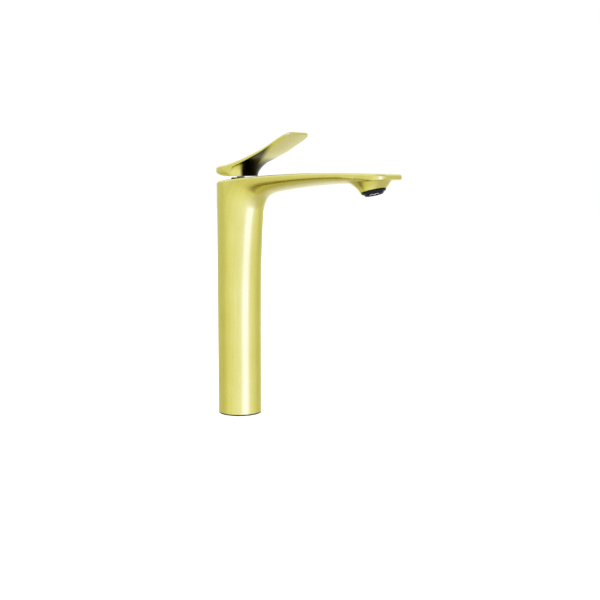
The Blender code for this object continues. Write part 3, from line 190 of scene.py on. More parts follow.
# ------------ mesh helpers
class Skin:
    """Faces of one closed body.  A place is (x, y, z, u, v, shade); equal points are welded.

    u and v run across and along the brushing, in metres, and shade is the share of painted shade.
    They become the UV maps "brush" and "shade".  Where left out, u is y, v is x and shade is 0."""

    def __init__(self):
        self.points = []
        self.known = {}
        self.faces = []
        self.brush = []
        self.shade = []

    def point(self, x, y, z):
        key = tuple(round(c / WELD_REACH) for c in (x, y, z))
        if key not in self.known:
            self.known[key] = len(self.points)
            self.points.append((x, y, z))
        return self.known[key]

    def face(self, places):
        corners = {}
        for x, y, z, *rest in places:
            u, v, shade = rest + [y, x, 0.0][len(rest):]
            corners.setdefault(self.point(x, y, z), (u, v, shade))
        if len(corners) >= 3:
            self.faces.append(list(corners))
            self.brush.append([(u, v) for u, v, _ in corners.values()])
            self.shade.append([(shade, 0.0) for _, _, shade in corners.values()])

    def grid(self, rows):
        for low, high in zip(rows, rows[1:]):
            for k in range(len(low) - 1):
                self.face((low[k], low[k + 1], high[k + 1], high[k]))

    def both_sides(self, rows):
        self.grid(rows)
        self.grid(mirrored(rows))

    def stitch(self, first, second):
        """A strip of triangles between two lines of points of different counts."""
        i = j = 0
        while i < len(first) - 1 or j < len(second) - 1:
            ahead = (i + 1) / (len(first) - 1)
            other = (j + 1) / (len(second) - 1)
            if j == len(second) - 1 or (i < len(first) - 1 and ahead <= other):
                self.face((first[i], first[i + 1], second[j]))
                i += 1
            else:
                self.face((first[i], second[j + 1], second[j]))
                j += 1

    def prism(self, outline, low, high):
        """An upright prism over an outline in plan."""
        base = [(x, y, low) for x, y in outline]
        roof = [(x, y, high) for x, y in outline]
        self.face(base)
        self.face(roof)
        for a in range(len(outline)):
            b = (a + 1) % len(outline)
            self.face((base[a], base[b], roof[b], roof[a]))

    def build(self, name):
        mesh = bpy.data.meshes.new(name)
        mesh.from_pydata(self.points, [], self.faces)
        for map_name, values in (("brush", self.brush), ("shade", self.shade)):
            layer = mesh.uv_layers.new(name=map_name)
            layer.data.foreach_set("uv", [c for face in values for uv in face for c in uv])
        turn_outwards(mesh)
        return place_in_scene(name, mesh)


def place_in_scene(name, data):
    item = bpy.data.objects.new(name, data)
    bpy.context.scene.collection.objects.link(item)
    return item


def turn_outwards(mesh):
    whole = bmesh.new()
    whole.from_mesh(mesh)
    loose = [v for v in whole.verts if not v.link_faces]
    bmesh.ops.delete(whole, geom=loose, context="VERTS")
    bmesh.ops.recalc_face_normals(whole, faces=whole.faces)
    if whole.calc_volume(signed=True) < 0.0:
        bmesh.ops.reverse_faces(whole, faces=whole.faces)
    whole.to_mesh(mesh)
    whole.free()


def turned(name, profile, segments=ROUND_SEGMENTS):
    """A body of revolution about Z from a closed outline of (radius, height) points."""
    skin = Skin()
    rings = []
    for step in range(segments + 1):
        angle = 2.0 * pi * (step % segments) / segments
        rings.append([(r * cos(angle), r * sin(angle), z) for r, z in profile])
    if profile[0][0] > 0.0:
        rings = [ring + [ring[0]] for ring in rings]
    skin.grid(rings)
    return skin.build(name)


def disc(name, radius, low, high, segments=ROUND_SEGMENTS):
    return turned(name, ((0.0, low), (radius, low), (radius, high), (0.0, high)), segments)


def box(name, low, high):
    (x0, y0, z0), (x1, y1, z1) = low, high
    skin = Skin()
    skin.prism(((x0, y0), (x1, y0), (x1, y1), (x0, y1)), z0, z1)
    return skin.build(name)


def oval_tube(name, route, half_width, half_height):
    skin = Skin()
    rings = []
    for x, z in route:
        loop = []
        for step in range(SMALL_SEGMENTS + 1):
            angle = 2.0 * pi * (step % SMALL_SEGMENTS) / SMALL_SEGMENTS
            loop.append((x, half_width * cos(angle), z + half_height * sin(angle)))
        rings.append(loop)
    skin.grid(rings)
    skin.face(rings[0][:-1])
    skin.face(rings[-1][:-1])
    return skin.build(name)


def moved(item, matrix):
    item.data.transform(matrix)
    return item


def at(x, y=0.0, z=0.0):
    return Matrix.Translation((x, y, z))


def outlet_frame():
    """Placement of the aerator: local Z points into the spout, square to the boss's rim."""
    return Matrix.Translation(OUTLET) @ Matrix.Rotation(-OUTLET_TILT, 4, "Y")


def settle(item):
    """Replace the piece's mesh by what its modifiers make of it."""
    bpy.context.view_layer.update()
    graph = bpy.context.evaluated_depsgraph_get()
    mesh = bpy.data.meshes.new_from_object(item.evaluated_get(graph), depsgraph=graph)
    item.modifiers.clear()
    item.data = mesh
    return item


def carve(item, cutters, lining):
    """Cut the cutters away; the walls that they leave take the lining material."""
    for cutter in cutters:
        cutter.data.materials.append(lining)
        step = item.modifiers.new("carve", "BOOLEAN")
        step.operation = "DIFFERENCE"
        step.solver = "EXACT"
        step.material_mode = "TRANSFER"
        step.object = cutter
    settle(item)
    for cutter in cutters:
        bpy.data.objects.remove(cutter, do_unlink=True)
    return item


def smooth(item, angle=30.0):
    item.data.shade_smooth()
    item.data.set_sharp_from_angle(angle=radians(angle))
    return item


def soften(item, width, segments=2, angle=30.0):
    """Small rounding along the piece's sharp edges."""
    bevel = item.modifiers.new("soften", "BEVEL")
    bevel.width = width
    bevel.segments = segments
    bevel.limit_method = "ANGLE"
    bevel.angle_limit = radians(angle)
    bevel.use_clamp_overlap = True
    return smooth(settle(item))


def mirrored(rows):
    return [[(x, -y, z, -u, *rest) for x, y, z, u, *rest in row] for row in rows]


def whole_line(half):
    """A line right across, from its +Y half that starts at the middle."""
    return half[::-1] + mirrored([half[1:]])[0]


def spread(row):
    """Points straight across from an outline point to its mirror image."""
    return [[(x, y * t, z, y * t, x) for t in SPANS] for x, y, z in row]


def with_brush(rows):
    """Add to each point how far it is across its row and along the rows."""
    table = np.array([[place[:3] for place in row] for row in rows])
    across = np.linalg.norm(np.diff(table, axis=1), axis=2).cumsum(axis=1)
    across = np.hstack((np.zeros((len(rows), 1)), across))
    along = np.linalg.norm(np.diff(table, axis=0), axis=2).mean(axis=1).cumsum()
    along = np.concatenate(([0.0], along))
    return [[(*place, across[i, k], along[i]) for k, place in enumerate(row)]
            for i, row in enumerate(table.tolist())]


def smooth_curve(points, per_span=32):
    """Points on a smooth curve through the given ones (centripetal Catmull-Rom)."""
    route = [Vector(p) for p in points]
    route = [route[0] * 2 - route[1]] + route + [route[-1] * 2 - route[-2]]
    dense = []
    for a, b, c, d in zip(route, route[1:], route[2:], route[3:]):
        t0 = 0.0
        t1 = t0 + sqrt((b - a).length)
        t2 = t1 + sqrt((c - b).length)
        t3 = t2 + sqrt((d - c).length)
        for step in range(per_span):
            t = t1 + (t2 - t1) * step / per_span
            ab = a.lerp(b, (t - t0) / (t1 - t0))
            bc = b.lerp(c, (t - t1) / (t2 - t1))
            cd = c.lerp(d, (t - t2) / (t3 - t2))
            abc = ab.lerp(bc, (t - t0) / (t2 - t0))
            bcd = bc.lerp(cd, (t - t1) / (t3 - t1))
            dense.append(tuple(abc.lerp(bcd, (t - t1) / (t2 - t1))))
    dense.append(tuple(points[-1]))
    return np.array(dense)


def smoothstep(low, high, value):
    t = min(max((value - low) / (high - low), 0.0), 1.0)
    return t * t * (3.0 - 2.0 * t)


def fillet(places, normals, radius_at, height_at):
    """Rows of a rounded upper rim, from each outline point inwards and up."""
    rows = []
    for (x, y), (nx, ny) in zip(places, normals):
        radius = radius_at(x)
        row = []
        for step in range(FILLET_ROWS + 1):
            angle = pi / 2 * step / FILLET_ROWS
            inset = radius * (1.0 - cos(angle))
            px = x - nx * inset
            row.append((px, max(y - ny * inset, 0.0), height_at(x, px) + radius * sin(angle)))
        rows.append(row)
    return rows


def outline_normals(outline, side):
    """Outward plan direction along an outline; side is 1 if that is to its left, or else -1."""
    places = np.array(outline)[:, :2]
    run = np.vstack((places[1] - places[0], places[2:] - places[:-2], places[-1] - places[-2]))
    run /= np.linalg.norm(run, axis=1)[:, None]
    normals = side * np.column_stack((-run[:, 1], run[:, 0]))
    normals[0] = (-side, 0.0)
    normals[-1] = (side, 0.0)
    return normals


# ------------ casting
def top_height(x):
    return TOP_CROWN_Z - TOP_FALL * (x - TOP_CROWN_X) ** 2


def plan_half_width(x):
    """Half width of the top face: round at the back, straight sides, rounded tip corners."""
    if x < 0.0:
        return sqrt(max(COLUMN_RADIUS ** 2 - x * x, 0.0))
    past = x - (SPOUT_TIP - TIP_CORNER)
    if past <= 0.0:
        return COLUMN_RADIUS
    return COLUMN_RADIUS - TIP_CORNER + sqrt(max(TIP_CORNER ** 2 - past * past, 0.0))


def column_section(count):
    """Half of the round column's section as (depth, width) fractions, front to middle."""
    angles = np.linspace(0.0, pi / 2, count)
    return 1.0 - np.cos(angles), np.sin(angles)


def spout_section(length, edge):
    """Half of the spout's section: a round belly, with an upright rim above it."""
    belly, rim = SECTION_ROWS
    rim_start = max(1.0 - edge / length, 0.0)
    turn = np.linspace(0.0, pi / 2, belly + 1)
    climb = np.linspace(rim_start, 1.0, rim + 1)[1:]
    depth = np.concatenate((rim_start * (1.0 - np.cos(turn)), climb))
    return depth, np.concatenate((np.sin(turn), np.ones(rim)))


def full_width_place(rim_x):
    """Where the section that ends at rim_x on the outline comes to its full width."""
    if abs(rim_x) >= FULL_WIDTH_BLEND:
        return max(rim_x, 0.0)
    return (rim_x + FULL_WIDTH_BLEND) ** 2 / (4.0 * FULL_WIDTH_BLEND)


def boss_radius(height):
    return BOSS_RIM + BOSS_CONE * height + BOSS_FLARE * height * height


def boss_half_width(x, z):
    """Half width of the aerator boss at a height, or 0 where it doesn't reach."""
    dx = x - OUTLET.x
    dz = z - OUTLET.z
    along = dx * cos(OUTLET_TILT) + dz * sin(OUTLET_TILT)
    height = dz * cos(OUTLET_TILT) - dx * sin(OUTLET_TILT)
    radius = boss_radius(np.maximum(height, 0.0))
    front = BOSS_RIM + BOSS_FRONT_CONE * np.maximum(height, 0.0)
    along = np.where(along > 0.0, along * radius / front, along)
    reach = radius ** 2 - along * along
    return np.where(height < -ON_PLANE, 0.0, np.sqrt(np.maximum(reach, 0.0)))


def boss_underside(x, roof):
    """Lowest point of the boss above x, and the rim's half width there."""
    rim_z = OUTLET.z + (x - OUTLET.x) * tan(OUTLET_TILT)
    along = (x - OUTLET.x) / cos(OUTLET_TILT)
    if abs(along) <= BOSS_RIM:
        return rim_z, sqrt(BOSS_RIM ** 2 - along * along)
    levels = np.linspace(rim_z, roof, BOSS_SCAN_LEVELS)
    reached = np.flatnonzero(boss_half_width(x, levels) > 0.0)
    return (float(levels[reached[0]]) if len(reached) else roof), 0.0


def soft_max(a, b, reach):
    overlap = max(reach - abs(a - b), 0.0) / reach
    return max(a, b) + overlap * overlap * reach / 4.0


class CastBody:
    """Stations along the casting, each a row of points from the front line to the outer rim."""

    def __init__(self):
        self.front = smooth_curve(FRONT_LINE)
        start = np.argmax(self.front[:, 1] >= FAN[1])
        end = np.argmax(self.front[:, 0] >= FAN[0]) + 1
        self.fan_points = self.front[start - 1:end + 1]
        self.fan_angle = np.arctan2(self.fan_points[:, 1] - FAN[1], self.fan_points[:, 0] - FAN[0])
        self.sides = []         # rows of (x, y, z) on the +Y side
        self.rims = []          # outline points of the top face
        self.feet = []          # outline points of the flat face around the aerator

    def front_at_angle(self, angle):
        order = np.argsort(self.fan_angle)
        x = np.interp(angle, self.fan_angle[order], self.fan_points[order, 0])
        z = np.interp(angle, self.fan_angle[order], self.fan_points[order, 1])
        return float(x), float(z)

    def underside(self, x):
        run = self.front[self.front[:, 0] > SPOUT_ROOT]
        return float(np.interp(x, run[:, 0], run[:, 1]))

    def section(self, front, outer):
        """Points from the front line's point to an outer point on the wall or the rim."""
        (xa, za), (xb, zb) = front, outer
        full_x = full_width_place(xb)
        share = (xa - full_x) / (xa - xb) if full_x > xb else 1.0
        half = plan_half_width(max(xb, 0.0))
        weight = smoothstep(BELLY_START, BELLY_END, xa)
        flat, full = column_section(sum(SECTION_ROWS) + 1)
        deep, wide = spout_section(hypot(xb - xa, zb - za) * share, PLATE_EDGE)
        depth = share * (flat * (1.0 - weight) + deep * weight)
        width = half * (full * (1.0 - weight) + wide * weight)
        row = [(xa + (xb - xa) * d, w, za + (zb - za) * d) for d, w in zip(depth, width)]

        def height(x):
            return za + (zb - za) * ((x - xa) / (xb - xa) if full_x > xb else 1.0)

        for step in range(1, STRAIGHT_ROWS + 1):
            x = full_x + (max(xb, 0.0) - full_x) * step / STRAIGHT_ROWS
            row.append((x, half, height(x)))
        back = asin(min(-min(xb, 0.0) / COLUMN_RADIUS, 1.0))
        for step in range(1, BACK_ROWS + 1):
            angle = back * step / BACK_ROWS
            x = -COLUMN_RADIUS * sin(angle) if xb < 0.0 else xb
            row.append((x, COLUMN_RADIUS * cos(angle) if xb < 0.0 else half, height(x)))
        return row

    def boss_section(self, x):
        """Points of a section through the aerator boss, from its underside to the rim."""
        roof = top_height(x) - EDGE_RADIUS
        floor = self.underside(x)
        half = plan_half_width(x)
        edge = PLATE_EDGE + (TIP_EDGE - PLATE_EDGE) * smoothstep(BOSS_START, SPOUT_TIP, x)
        deep, wide = spout_section(roof - floor, edge)
        levels = floor + deep * (roof - floor)
        low, rim_width = boss_underside(x, roof)
        low = min(low, floor)
        belly_rows = SECTION_ROWS[0]
        mix = smoothstep(0.0, BOSS_GROWN, floor - low)
        row = []
        for k, z in enumerate(levels):
            if k < belly_rows:
                evened = low + (levels[belly_rows] - low) * (k / belly_rows) ** BOSS_FLANK_POWER
                z = z * (1.0 - mix) + evened * mix
            width = half * float(np.interp(z, levels, wide)) if z >= floor else 0.0
            swell = float(boss_half_width(x, z))
            if swell > 0.0:
                width = soft_max(width, swell, BOSS_BLEND)
            row.append((x, min(rim_width if k == 0 else width, half), float(z)))
        row += [row[-1]] * (STRAIGHT_ROWS + BACK_ROWS)
        return row, rim_width, low

    def boss_stations(self):
        reach = BOSS_RIM * cos(OUTLET_TILT)
        lead = np.linspace(BOSS_START, OUTLET.x - reach, BOSS_LEAD_STEPS + 1)[1:-1]
        turn = np.linspace(0.0, pi, BOSS_STEPS + 1)
        bend = SPOUT_TIP - TIP_CORNER
        tip = bend + TIP_CORNER * np.sin(np.linspace(0.0, pi / 2, TIP_STEPS + 1))
        tip = tip[tip > OUTLET.x + reach + GAP]
        return [float(x) for x in (*lead, *(OUTLET.x - reach * np.cos(turn)), *tip)]

    def add_top_station(self, row):
        """A station whose outer point lies on the top face's outline."""
        self.sides.append(row)
        self.rims.append(row[-1])

    def build_stations(self):
        for share in np.linspace(0.0, 1.0, COLUMN_LEVELS + 1):
            z = GASKET_HEIGHT + (FAN[1] - GASKET_HEIGHT) * share
            x = float(np.interp(z, self.front[:, 1], self.front[:, 0]))
            self.sides.append(self.section((x, z), (-COLUMN_RADIUS, z)))
        corner_z = top_height(-COLUMN_RADIUS) - EDGE_RADIUS
        for z in np.linspace(FAN[1], corner_z, BACK_LEVELS + 1)[1:-1]:
            angle = atan2(z - FAN[1], -COLUMN_RADIUS - FAN[0])
            self.sides.append(self.section(self.front_at_angle(angle), (-COLUMN_RADIUS, z)))
        turn = np.linspace(0.0, pi / 2, BACK_ARC_STEPS + 1)[:-1]
        sweep = np.linspace(0.0, FAN[0], SWEEP_STEPS + 1)
        for x in (*(-COLUMN_RADIUS * np.cos(turn)), *sweep):
            z = top_height(x) - EDGE_RADIUS
            angle = atan2(z - FAN[1], x - FAN[0])
            self.add_top_station(self.section(self.front_at_angle(angle), (float(x), z)))
        for x in np.linspace(FAN[0], BOSS_START, SPOUT_STEPS + 1)[1:]:
            outer = (float(x), top_height(x) - EDGE_RADIUS)
            self.add_top_station(self.section((float(x), self.underside(x)), outer))
        for x in self.boss_stations():
            row, rim_width, low = self.boss_section(x)
            self.add_top_station(row)
            if abs(x - OUTLET.x) <= BOSS_RIM * cos(OUTLET_TILT) + PAST_RIM:
                self.feet.append((x, rim_width, low))


def add_tip_face(skin, side, rim):
    """The flat end face at the tip, from the belly's lower edge to the top of the rounded rim."""
    belly_rows = SECTION_ROWS[0]
    lower = [(x, y, z, y, z) for x, y, z in side[:belly_rows + 1]]
    upper = side[belly_rows + 1:sum(SECTION_ROWS) + 1] + rim[1:]
    tip = [[(x, y * t, z, y * t, z) for t in SPANS] for x, y, z in upper]
    skin.stitch(whole_line(lower), tip[0])
    skin.grid(tip)


def casting_skin():
    cast = CastBody()
    cast.build_stations()
    sides = with_brush(cast.sides)
    skin = Skin()
    skin.both_sides(sides)
    outline = [(x, y) for x, y, _ in cast.rims]
    rims = fillet(outline, outline_normals(outline, 1.0), lambda x: EDGE_RADIUS,
                  lambda x, px: top_height(x) - EDGE_RADIUS)
    skin.both_sides([[(x, y, z, y, x) for x, y, z in row] for row in rims])
    skin.grid(spread([row[-1] for row in rims]))
    add_tip_face(skin, cast.sides[-1], rims[-1])
    skin.grid(spread(cast.feet))
    skin.grid(spread(cast.sides[0]))
    return skin.build("column_and_spout")


def cartridge_cutters():
    """The wide bore from below, and the cartridge's chamber with the bore for its nut."""
    groove, low, high = RETAINER_GROOVE
    bore = turned("cut_bore", (
        (0.0, 0.0), (BORE_RADIUS, 0.0), (BORE_RADIUS, low), (groove, low), (groove, high),
        (BORE_RADIUS, high), (BORE_RADIUS, BORE_TOP), (0.0, BORE_TOP)))
    chamber = turned("cut_chamber", (
        (0.0, SEAT_Z), (CHAMBER_RADIUS, SEAT_Z), (CHAMBER_RADIUS, NUT_BORE_FLOOR),
        (NUT_BORE_RADIUS, NUT_BORE_FLOOR), (NUT_BORE_RADIUS, CHAMBER_ROOF), (0.0, CHAMBER_ROOF)))
    return [bore, moved(chamber, at(VALVE_X))]


def casting_cutters():
    cutters = cartridge_cutters()
    pocket, pocket_depth = SEAL_POCKET
    start = BORE_TOP - CUT_OVER
    port_end = SEAT_Z + CUT_OVER
    for y in (PORT_Y, -PORT_Y):
        port = turned("cut_port", (
            (0.0, start), (pocket, start), (pocket, BORE_TOP + pocket_depth),
            (PIPE_SOCKET, BORE_TOP + pocket_depth), (PIPE_SOCKET, PIPE_SEAT),
            (PORT_RADIUS, PIPE_SEAT), (PORT_RADIUS, port_end), (0.0, port_end)), SMALL_SEGMENTS)
        cutters.append(moved(port, at(PORT_X, y)))
    x, radius, floor = OUTLET_PORT
    port = disc("cut_outlet_port", radius, floor, port_end, SMALL_SEGMENTS)
    cutters.append(moved(port, at(x)))
    cutters.append(box("cut_pocket", *POCKET))
    cutters.append(box("cut_riser", *RISER))
    cutters.append(oval_tube("cut_channel", WATER_LINE, *WATER_OVAL))
    outlet = disc("cut_outlet", OUTLET_BORE, -AERATOR_DROP, OUTLET_BORE_DEPTH)
    cutters.append(moved(outlet, outlet_frame()))
    return cutters


# ------------ lever
class LeverShape:
    """The lever: a thin blade with round corners, growing out of a round foot."""

    def __init__(self):
        self.top_line = smooth_curve(LEVER_TOP_LINE)

    def top(self, x):
        return float(np.interp(x, self.top_line[:, 0], self.top_line[:, 1]))

    def edge(self, x):
        """Height of the blade's upright edge."""
        share = min(max((x - LEVER_THIN_FROM) / (LEVER_TIP - LEVER_THIN_FROM), 0.0), 1.0)
        return LEVER_EDGE_BACK + (LEVER_EDGE_TIP - LEVER_EDGE_BACK) * share ** LEVER_THIN_POWER

    def edge_radius(self, x):
        return min(EDGE_RADIUS, LEVER_ROUND_SHARE * self.edge(x))

    def under(self, x, y):
        """The blade's underside, slightly fuller along its middle."""
        share = min(abs(y) / LEVER_HALF, 1.0)
        return self.top(x) - self.edge(x) - LEVER_BELLY * (1.0 - share * share)

    def outline(self):
        """Plan outline of the +Y half, from the tip round to the back."""
        bend = LEVER_TIP - LEVER_TIP_CORNER
        flat = LEVER_HALF - LEVER_TIP_CORNER
        points = [(LEVER_TIP, flat * t / LEVER_END_STEPS) for t in range(LEVER_END_STEPS)]
        corner = np.linspace(0.0, pi / 2, LEVER_CORNER_STEPS + 1)[:-1]
        points += [(bend + LEVER_TIP_CORNER * cos(a), flat + LEVER_TIP_CORNER * sin(a))
                   for a in corner]
        side = np.linspace(bend, LEVER_BACK_CENTRE, LEVER_SIDE_STEPS + 1)[:-1]
        points += [(float(x), LEVER_HALF) for x in side]
        back = np.linspace(pi / 2, pi, LEVER_BACK_STEPS + 1)
        points += [(LEVER_BACK_CENTRE + LEVER_HALF * cos(a), abs(LEVER_HALF * sin(a)))
                   for a in back]
        return points

    def sweep_place(self, heading, reach, k):
        """Row k of the hollow sweep from the foot's rim into the blade's underside."""
        sweep = min(LEVER_SCOOP, LEVER_SCOOP_SHARE * reach)
        turn = pi / 2 * min(k / LEVER_NECK_ROWS, 1.0)
        out = sweep * (1.0 - cos(turn))
        if k > LEVER_NECK_ROWS:
            out = sweep + (reach - sweep) * (k - LEVER_NECK_ROWS) / LEVER_BLADE_ROWS
        x, y = out_from_foot(heading, out)
        return x, y, LEVER_FOOT_Z + (self.under(x, y) - LEVER_FOOT_Z) * sin(turn)

    def underside_row(self, qx, qy):
        """Points from the foot's rim out to the blade's lower edge, towards an outline point."""
        heading = atan2(qy, qx - VALVE_X)
        reach = hypot(qx - VALVE_X, qy) - LEVER_FOOT_RADIUS
        edge_z = self.under(qx, qy)
        front = 1.0 - smoothstep(LEVER_SCOOP_FROM, LEVER_SCOOP_TO, heading)
        row = []
        for k in range(LEVER_NECK_ROWS + LEVER_BLADE_ROWS + 1):
            bowl = bowl_place(heading, reach, edge_z, k)
            sweep = self.sweep_place(heading, reach, k)
            row.append(tuple(b + (s - b) * front for b, s in zip(bowl, sweep)))
        return row


def out_from_foot(heading, out):
    """Plan place beyond the foot's rim, in a direction from the foot's middle."""
    distance = LEVER_FOOT_RADIUS + out
    return VALVE_X + cos(heading) * distance, sin(heading) * distance


def bowl_place(heading, reach, edge_z, k):
    """Row k of the round bowl from the foot's rim up to the blade's lower edge."""
    turn = pi / 2 * k / (LEVER_NECK_ROWS + LEVER_BLADE_ROWS)
    x, y = out_from_foot(heading, reach * sin(turn))
    slope = LEVER_BOWL_SLOPE
    rise = slope * sin(turn) + (1.0 - slope) * (1.0 - cos(turn))
    return x, y, LEVER_FOOT_Z + (edge_z - LEVER_FOOT_Z) * rise


def neck_shade(x, y):
    """Share of painted shade: on the front of the lever's neck and on, along the cold side's
    edge under the blade, where it is a painted reflection of that dark neck."""
    front = 1.0 - smoothstep(*NECK_DARK_HEADING, atan2(abs(y), x - VALVE_X))
    limit = NECK_DARK_REACH - NECK_DARK_SLANT * min(y, 0.0)
    return front * (1.0 - smoothstep(limit - NECK_DARK_SOFT, limit + NECK_DARK_SOFT, x))


def lever_skin():
    shape = LeverShape()
    skin = Skin()
    outline = shape.outline()
    unders = [shape.underside_row(x, y) for x, y in outline]
    # painted shade: dark on the neck's front, and a painted dark reflection along the -Y edge only, so each side
    # gets its own share
    for side in (-1.0, 1.0):
        skin.grid([[(x, side * y, z, side * y, x, neck_shade(x, side * y)) for x, y, z in row]
                   for row in unders])
    rims = fillet(outline, outline_normals(outline, -1.0), shape.edge_radius,
                  lambda x, px: shape.top(px) - shape.edge_radius(x))
    walls = [[(x, y, shape.under(x, y))] + row for (x, y), row in zip(outline, rims)]
    skin.both_sides([[(x, y, z, z, x) for x, y, z in row] for row in walls])
    tops = spread([row[-1] for row in rims])
    start = LEVER_END_STEPS + 1
    end = [(x, y, z, y, x) for x, y, z in (row[-1] for row in rims[:start])]
    skin.stitch(whole_line(end), tops[start])
    skin.grid(tops[start:])
    skin.grid(spread([row[0] for row in unders]))
    return skin.build("lever_handle")


def lever_cutters():
    radius, low, high = LEVER_HOLLOW
    reach = STEM_HALF + GAP
    hollow = moved(disc("cut_hollow", radius, low, high), at(VALVE_X))
    socket = box("cut_socket", (VALVE_X - reach, -reach, LEVER_SOCKET_Z),
                 (VALVE_X + reach, reach, STEM_TOP + GAP))
    screw = disc("cut_screw", SCREW_HOLE, lever_low.x - CUT_OVER, VALVE_X, SMALL_SEGMENTS)
    moved(screw, at(0.0, 0.0, SCREW_Z) @ Matrix.Rotation(pi / 2, 4, "Y"))
    return [hollow, socket, screw]


# ------------ small round pieces
PLUG_DOME = 0.0006              # height of the plug's dome
PLUG_DOME_STEPS = 7             # rings of its dome
COLLAR_OUTLINE = (              # radius, and height above the collar's underside
    (0.0103, 0.0), (0.0149, 0.0), (0.0149, 0.0007), (0.0110, 0.0007), (0.0104, 0.0010),
    (0.0102, 0.0016), (0.0101, 0.0034), (0.0099, 0.0040), (0.0096, 0.0045),
    (0.0092, 0.0047), (0.0084, 0.0047), (0.0084, 0.0037), (0.0092, 0.0010),
)
AERATOR_OUTLINE = (             # radius, and height above the boss's rim
    (0.0078, -AERATOR_DROP), (0.0088, -AERATOR_DROP), (0.0093, -0.0028), (0.0114, -0.0017),
    (0.0121, -0.0010), (0.0121, -GAP), (0.0116, -GAP), (0.0116, 0.0070), (0.0078, 0.0070),
)
FOOT_SEAL_INNER = 0.0163
COLLAR_ROUNDING = 0.00012
FOOT_SEAL_ROUNDING = 0.00025
AERATOR_ROUNDING = 0.00018
HONEYCOMB = (0.0059, -0.0029, -0.0022)      # radius, low and high, like the aerator's outline
CELL_PITCH = 0.00115
CELL_WALL = 0.00022
CELL_ROWS = 6                   # rows of cells on each side of the middle one
CELL_MARGIN = 0.75              # pitches between the last cells' middles and the plate's edge


def make_plug():
    """Domed plug over the grub screw, in the back of the lever."""
    low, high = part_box("lever_plug")
    radius = high.y
    length = high.x - low.x
    arc = np.linspace(pi / 2, 0.0, PLUG_DOME_STEPS + 1)[1:]
    dome = [(radius * cos(a), PLUG_DOME - PLUG_DOME * sin(a)) for a in arc]
    outline = [(0.0, 0.0)] + dome + [(radius, length), (0.0, length)]
    plug = turned("lever_back_plug", outline, SMALL_SEGMENTS)
    moved(plug, at(low.x, 0.0, (low.z + high.z) / 2.0) @ Matrix.Rotation(pi / 2, 4, "Y"))
    return smooth(plug)


def make_collar():
    """Domed collar around the spindle, over the cartridge's nut; its black colour is painted shade under the
    lever.
    """
    low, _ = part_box("trim_cap")
    collar = moved(turned("spindle_collar", COLLAR_OUTLINE), at(VALVE_X, 0.0, low.z))
    return soften(collar, COLLAR_ROUNDING)


def make_foot_seal():
    """Black ring under the column's foot."""
    low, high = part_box("base_gasket")
    seal = turned("foot_seal", ((FOOT_SEAL_INNER, low.z), (high.x, low.z), (high.x, high.z),
                                (FOOT_SEAL_INNER, high.z)))
    return soften(seal, FOOT_SEAL_ROUNDING, segments=3)


def make_aerator_shell():
    """The aerator's housing, a stepped ring that shows below the boss."""
    shell = moved(turned("aerator_shell", AERATOR_OUTLINE), outlet_frame())
    return soften(shell, AERATOR_ROUNDING, segments=3, angle=15.0)


def honeycomb_cells():
    """The cells to cut from the honeycomb's plate, which end short of its edge."""
    radius, low, high = HONEYCOMB
    size = (CELL_PITCH - CELL_WALL) / sqrt(3.0)
    turns = [radians(30 + 60 * k) for k in range(6)]
    skin = Skin()
    for row in range(-CELL_ROWS, CELL_ROWS + 1):
        for column in range(-CELL_ROWS, CELL_ROWS + 1):
            x = (column + 0.5 * (row % 2)) * CELL_PITCH
            y = row * CELL_PITCH * sqrt(3.0) / 2.0
            if hypot(x, y) <= radius - CELL_PITCH * CELL_MARGIN:
                corners = [(x + size * cos(a), y + size * sin(a)) for a in turns]
                skin.prism(corners, low - CUT_OVER, high + CUT_OVER)
    return skin.build("cut_cells")


def make_aerator_mesh():
    """The honeycomb that straightens the water."""
    cells = honeycomb_cells()
    plate = disc("aerator_honeycomb", *HONEYCOMB)
    carve(plate, [cells], make_black("honeycomb_walls", 0.5))
    return smooth(moved(plate, outlet_frame()))


# ------------ materials
# colour of the painted shade on the lever's neck and under the blade's cold edge
NECK_PAINTED_SHADE = (0.008, 0.005, 0.002)
GOLD_DEEP = (0.72, 0.675, 0.185)
GOLD_PALE = (0.80, 0.765, 0.255)
RAW_BRASS = ((0.46, 0.34, 0.13), (0.62, 0.49, 0.21))    # deep and pale tone
STEEL = ((0.52, 0.52, 0.53), (0.68, 0.68, 0.70))
CERAMIC = ((0.80, 0.79, 0.75), (0.90, 0.89, 0.87))
BLACK = (0.0035, 0.0040, 0.0045)
BLACK_SHINE = 0.10
DARK_RUBBER = (0.015, 0.015, 0.016)
WHITE = (0.78, 0.78, 0.75)
RED = (0.52, 0.03, 0.02)
TONE_CHANGE = 0.20              # how much the tone of a plastic varies, up and down

# noise cells per metre, across and along the brushing or the lathe's rings, or along X, Y and Z
BRUSH_LINES = (5200.0, 90.0, 1.0)
BRUSH_STREAKS = (420.0, 14.0, 1.0)
GOLD_CLOUDS = (38.0, 38.0, 26.0)
LATHE_LINES = (4200.0, 4200.0, 1.0)
METAL_CLOUDS = (120.0,) * 3
PLASTIC_CLOUDS = (90.0,) * 3
CERAMIC_MOTTLE = (700.0,) * 3
FLOOR_CLOUDS = (3.0,) * 3
MOULD_GRAIN = 2600.0
RUBBER_GRAIN = 1500.0
NOISE_ROUGHNESS = 0.55
NOISE_LOW = 0.3                 # most of a noise's values lie between these
NOISE_HIGH = 0.7

# numbers of a mix node's sockets: share, first and second input, and output
MIX_SOCKETS = {"FLOAT": (0, 2, 3, 0), "RGBA": (0, 6, 7, 2)}


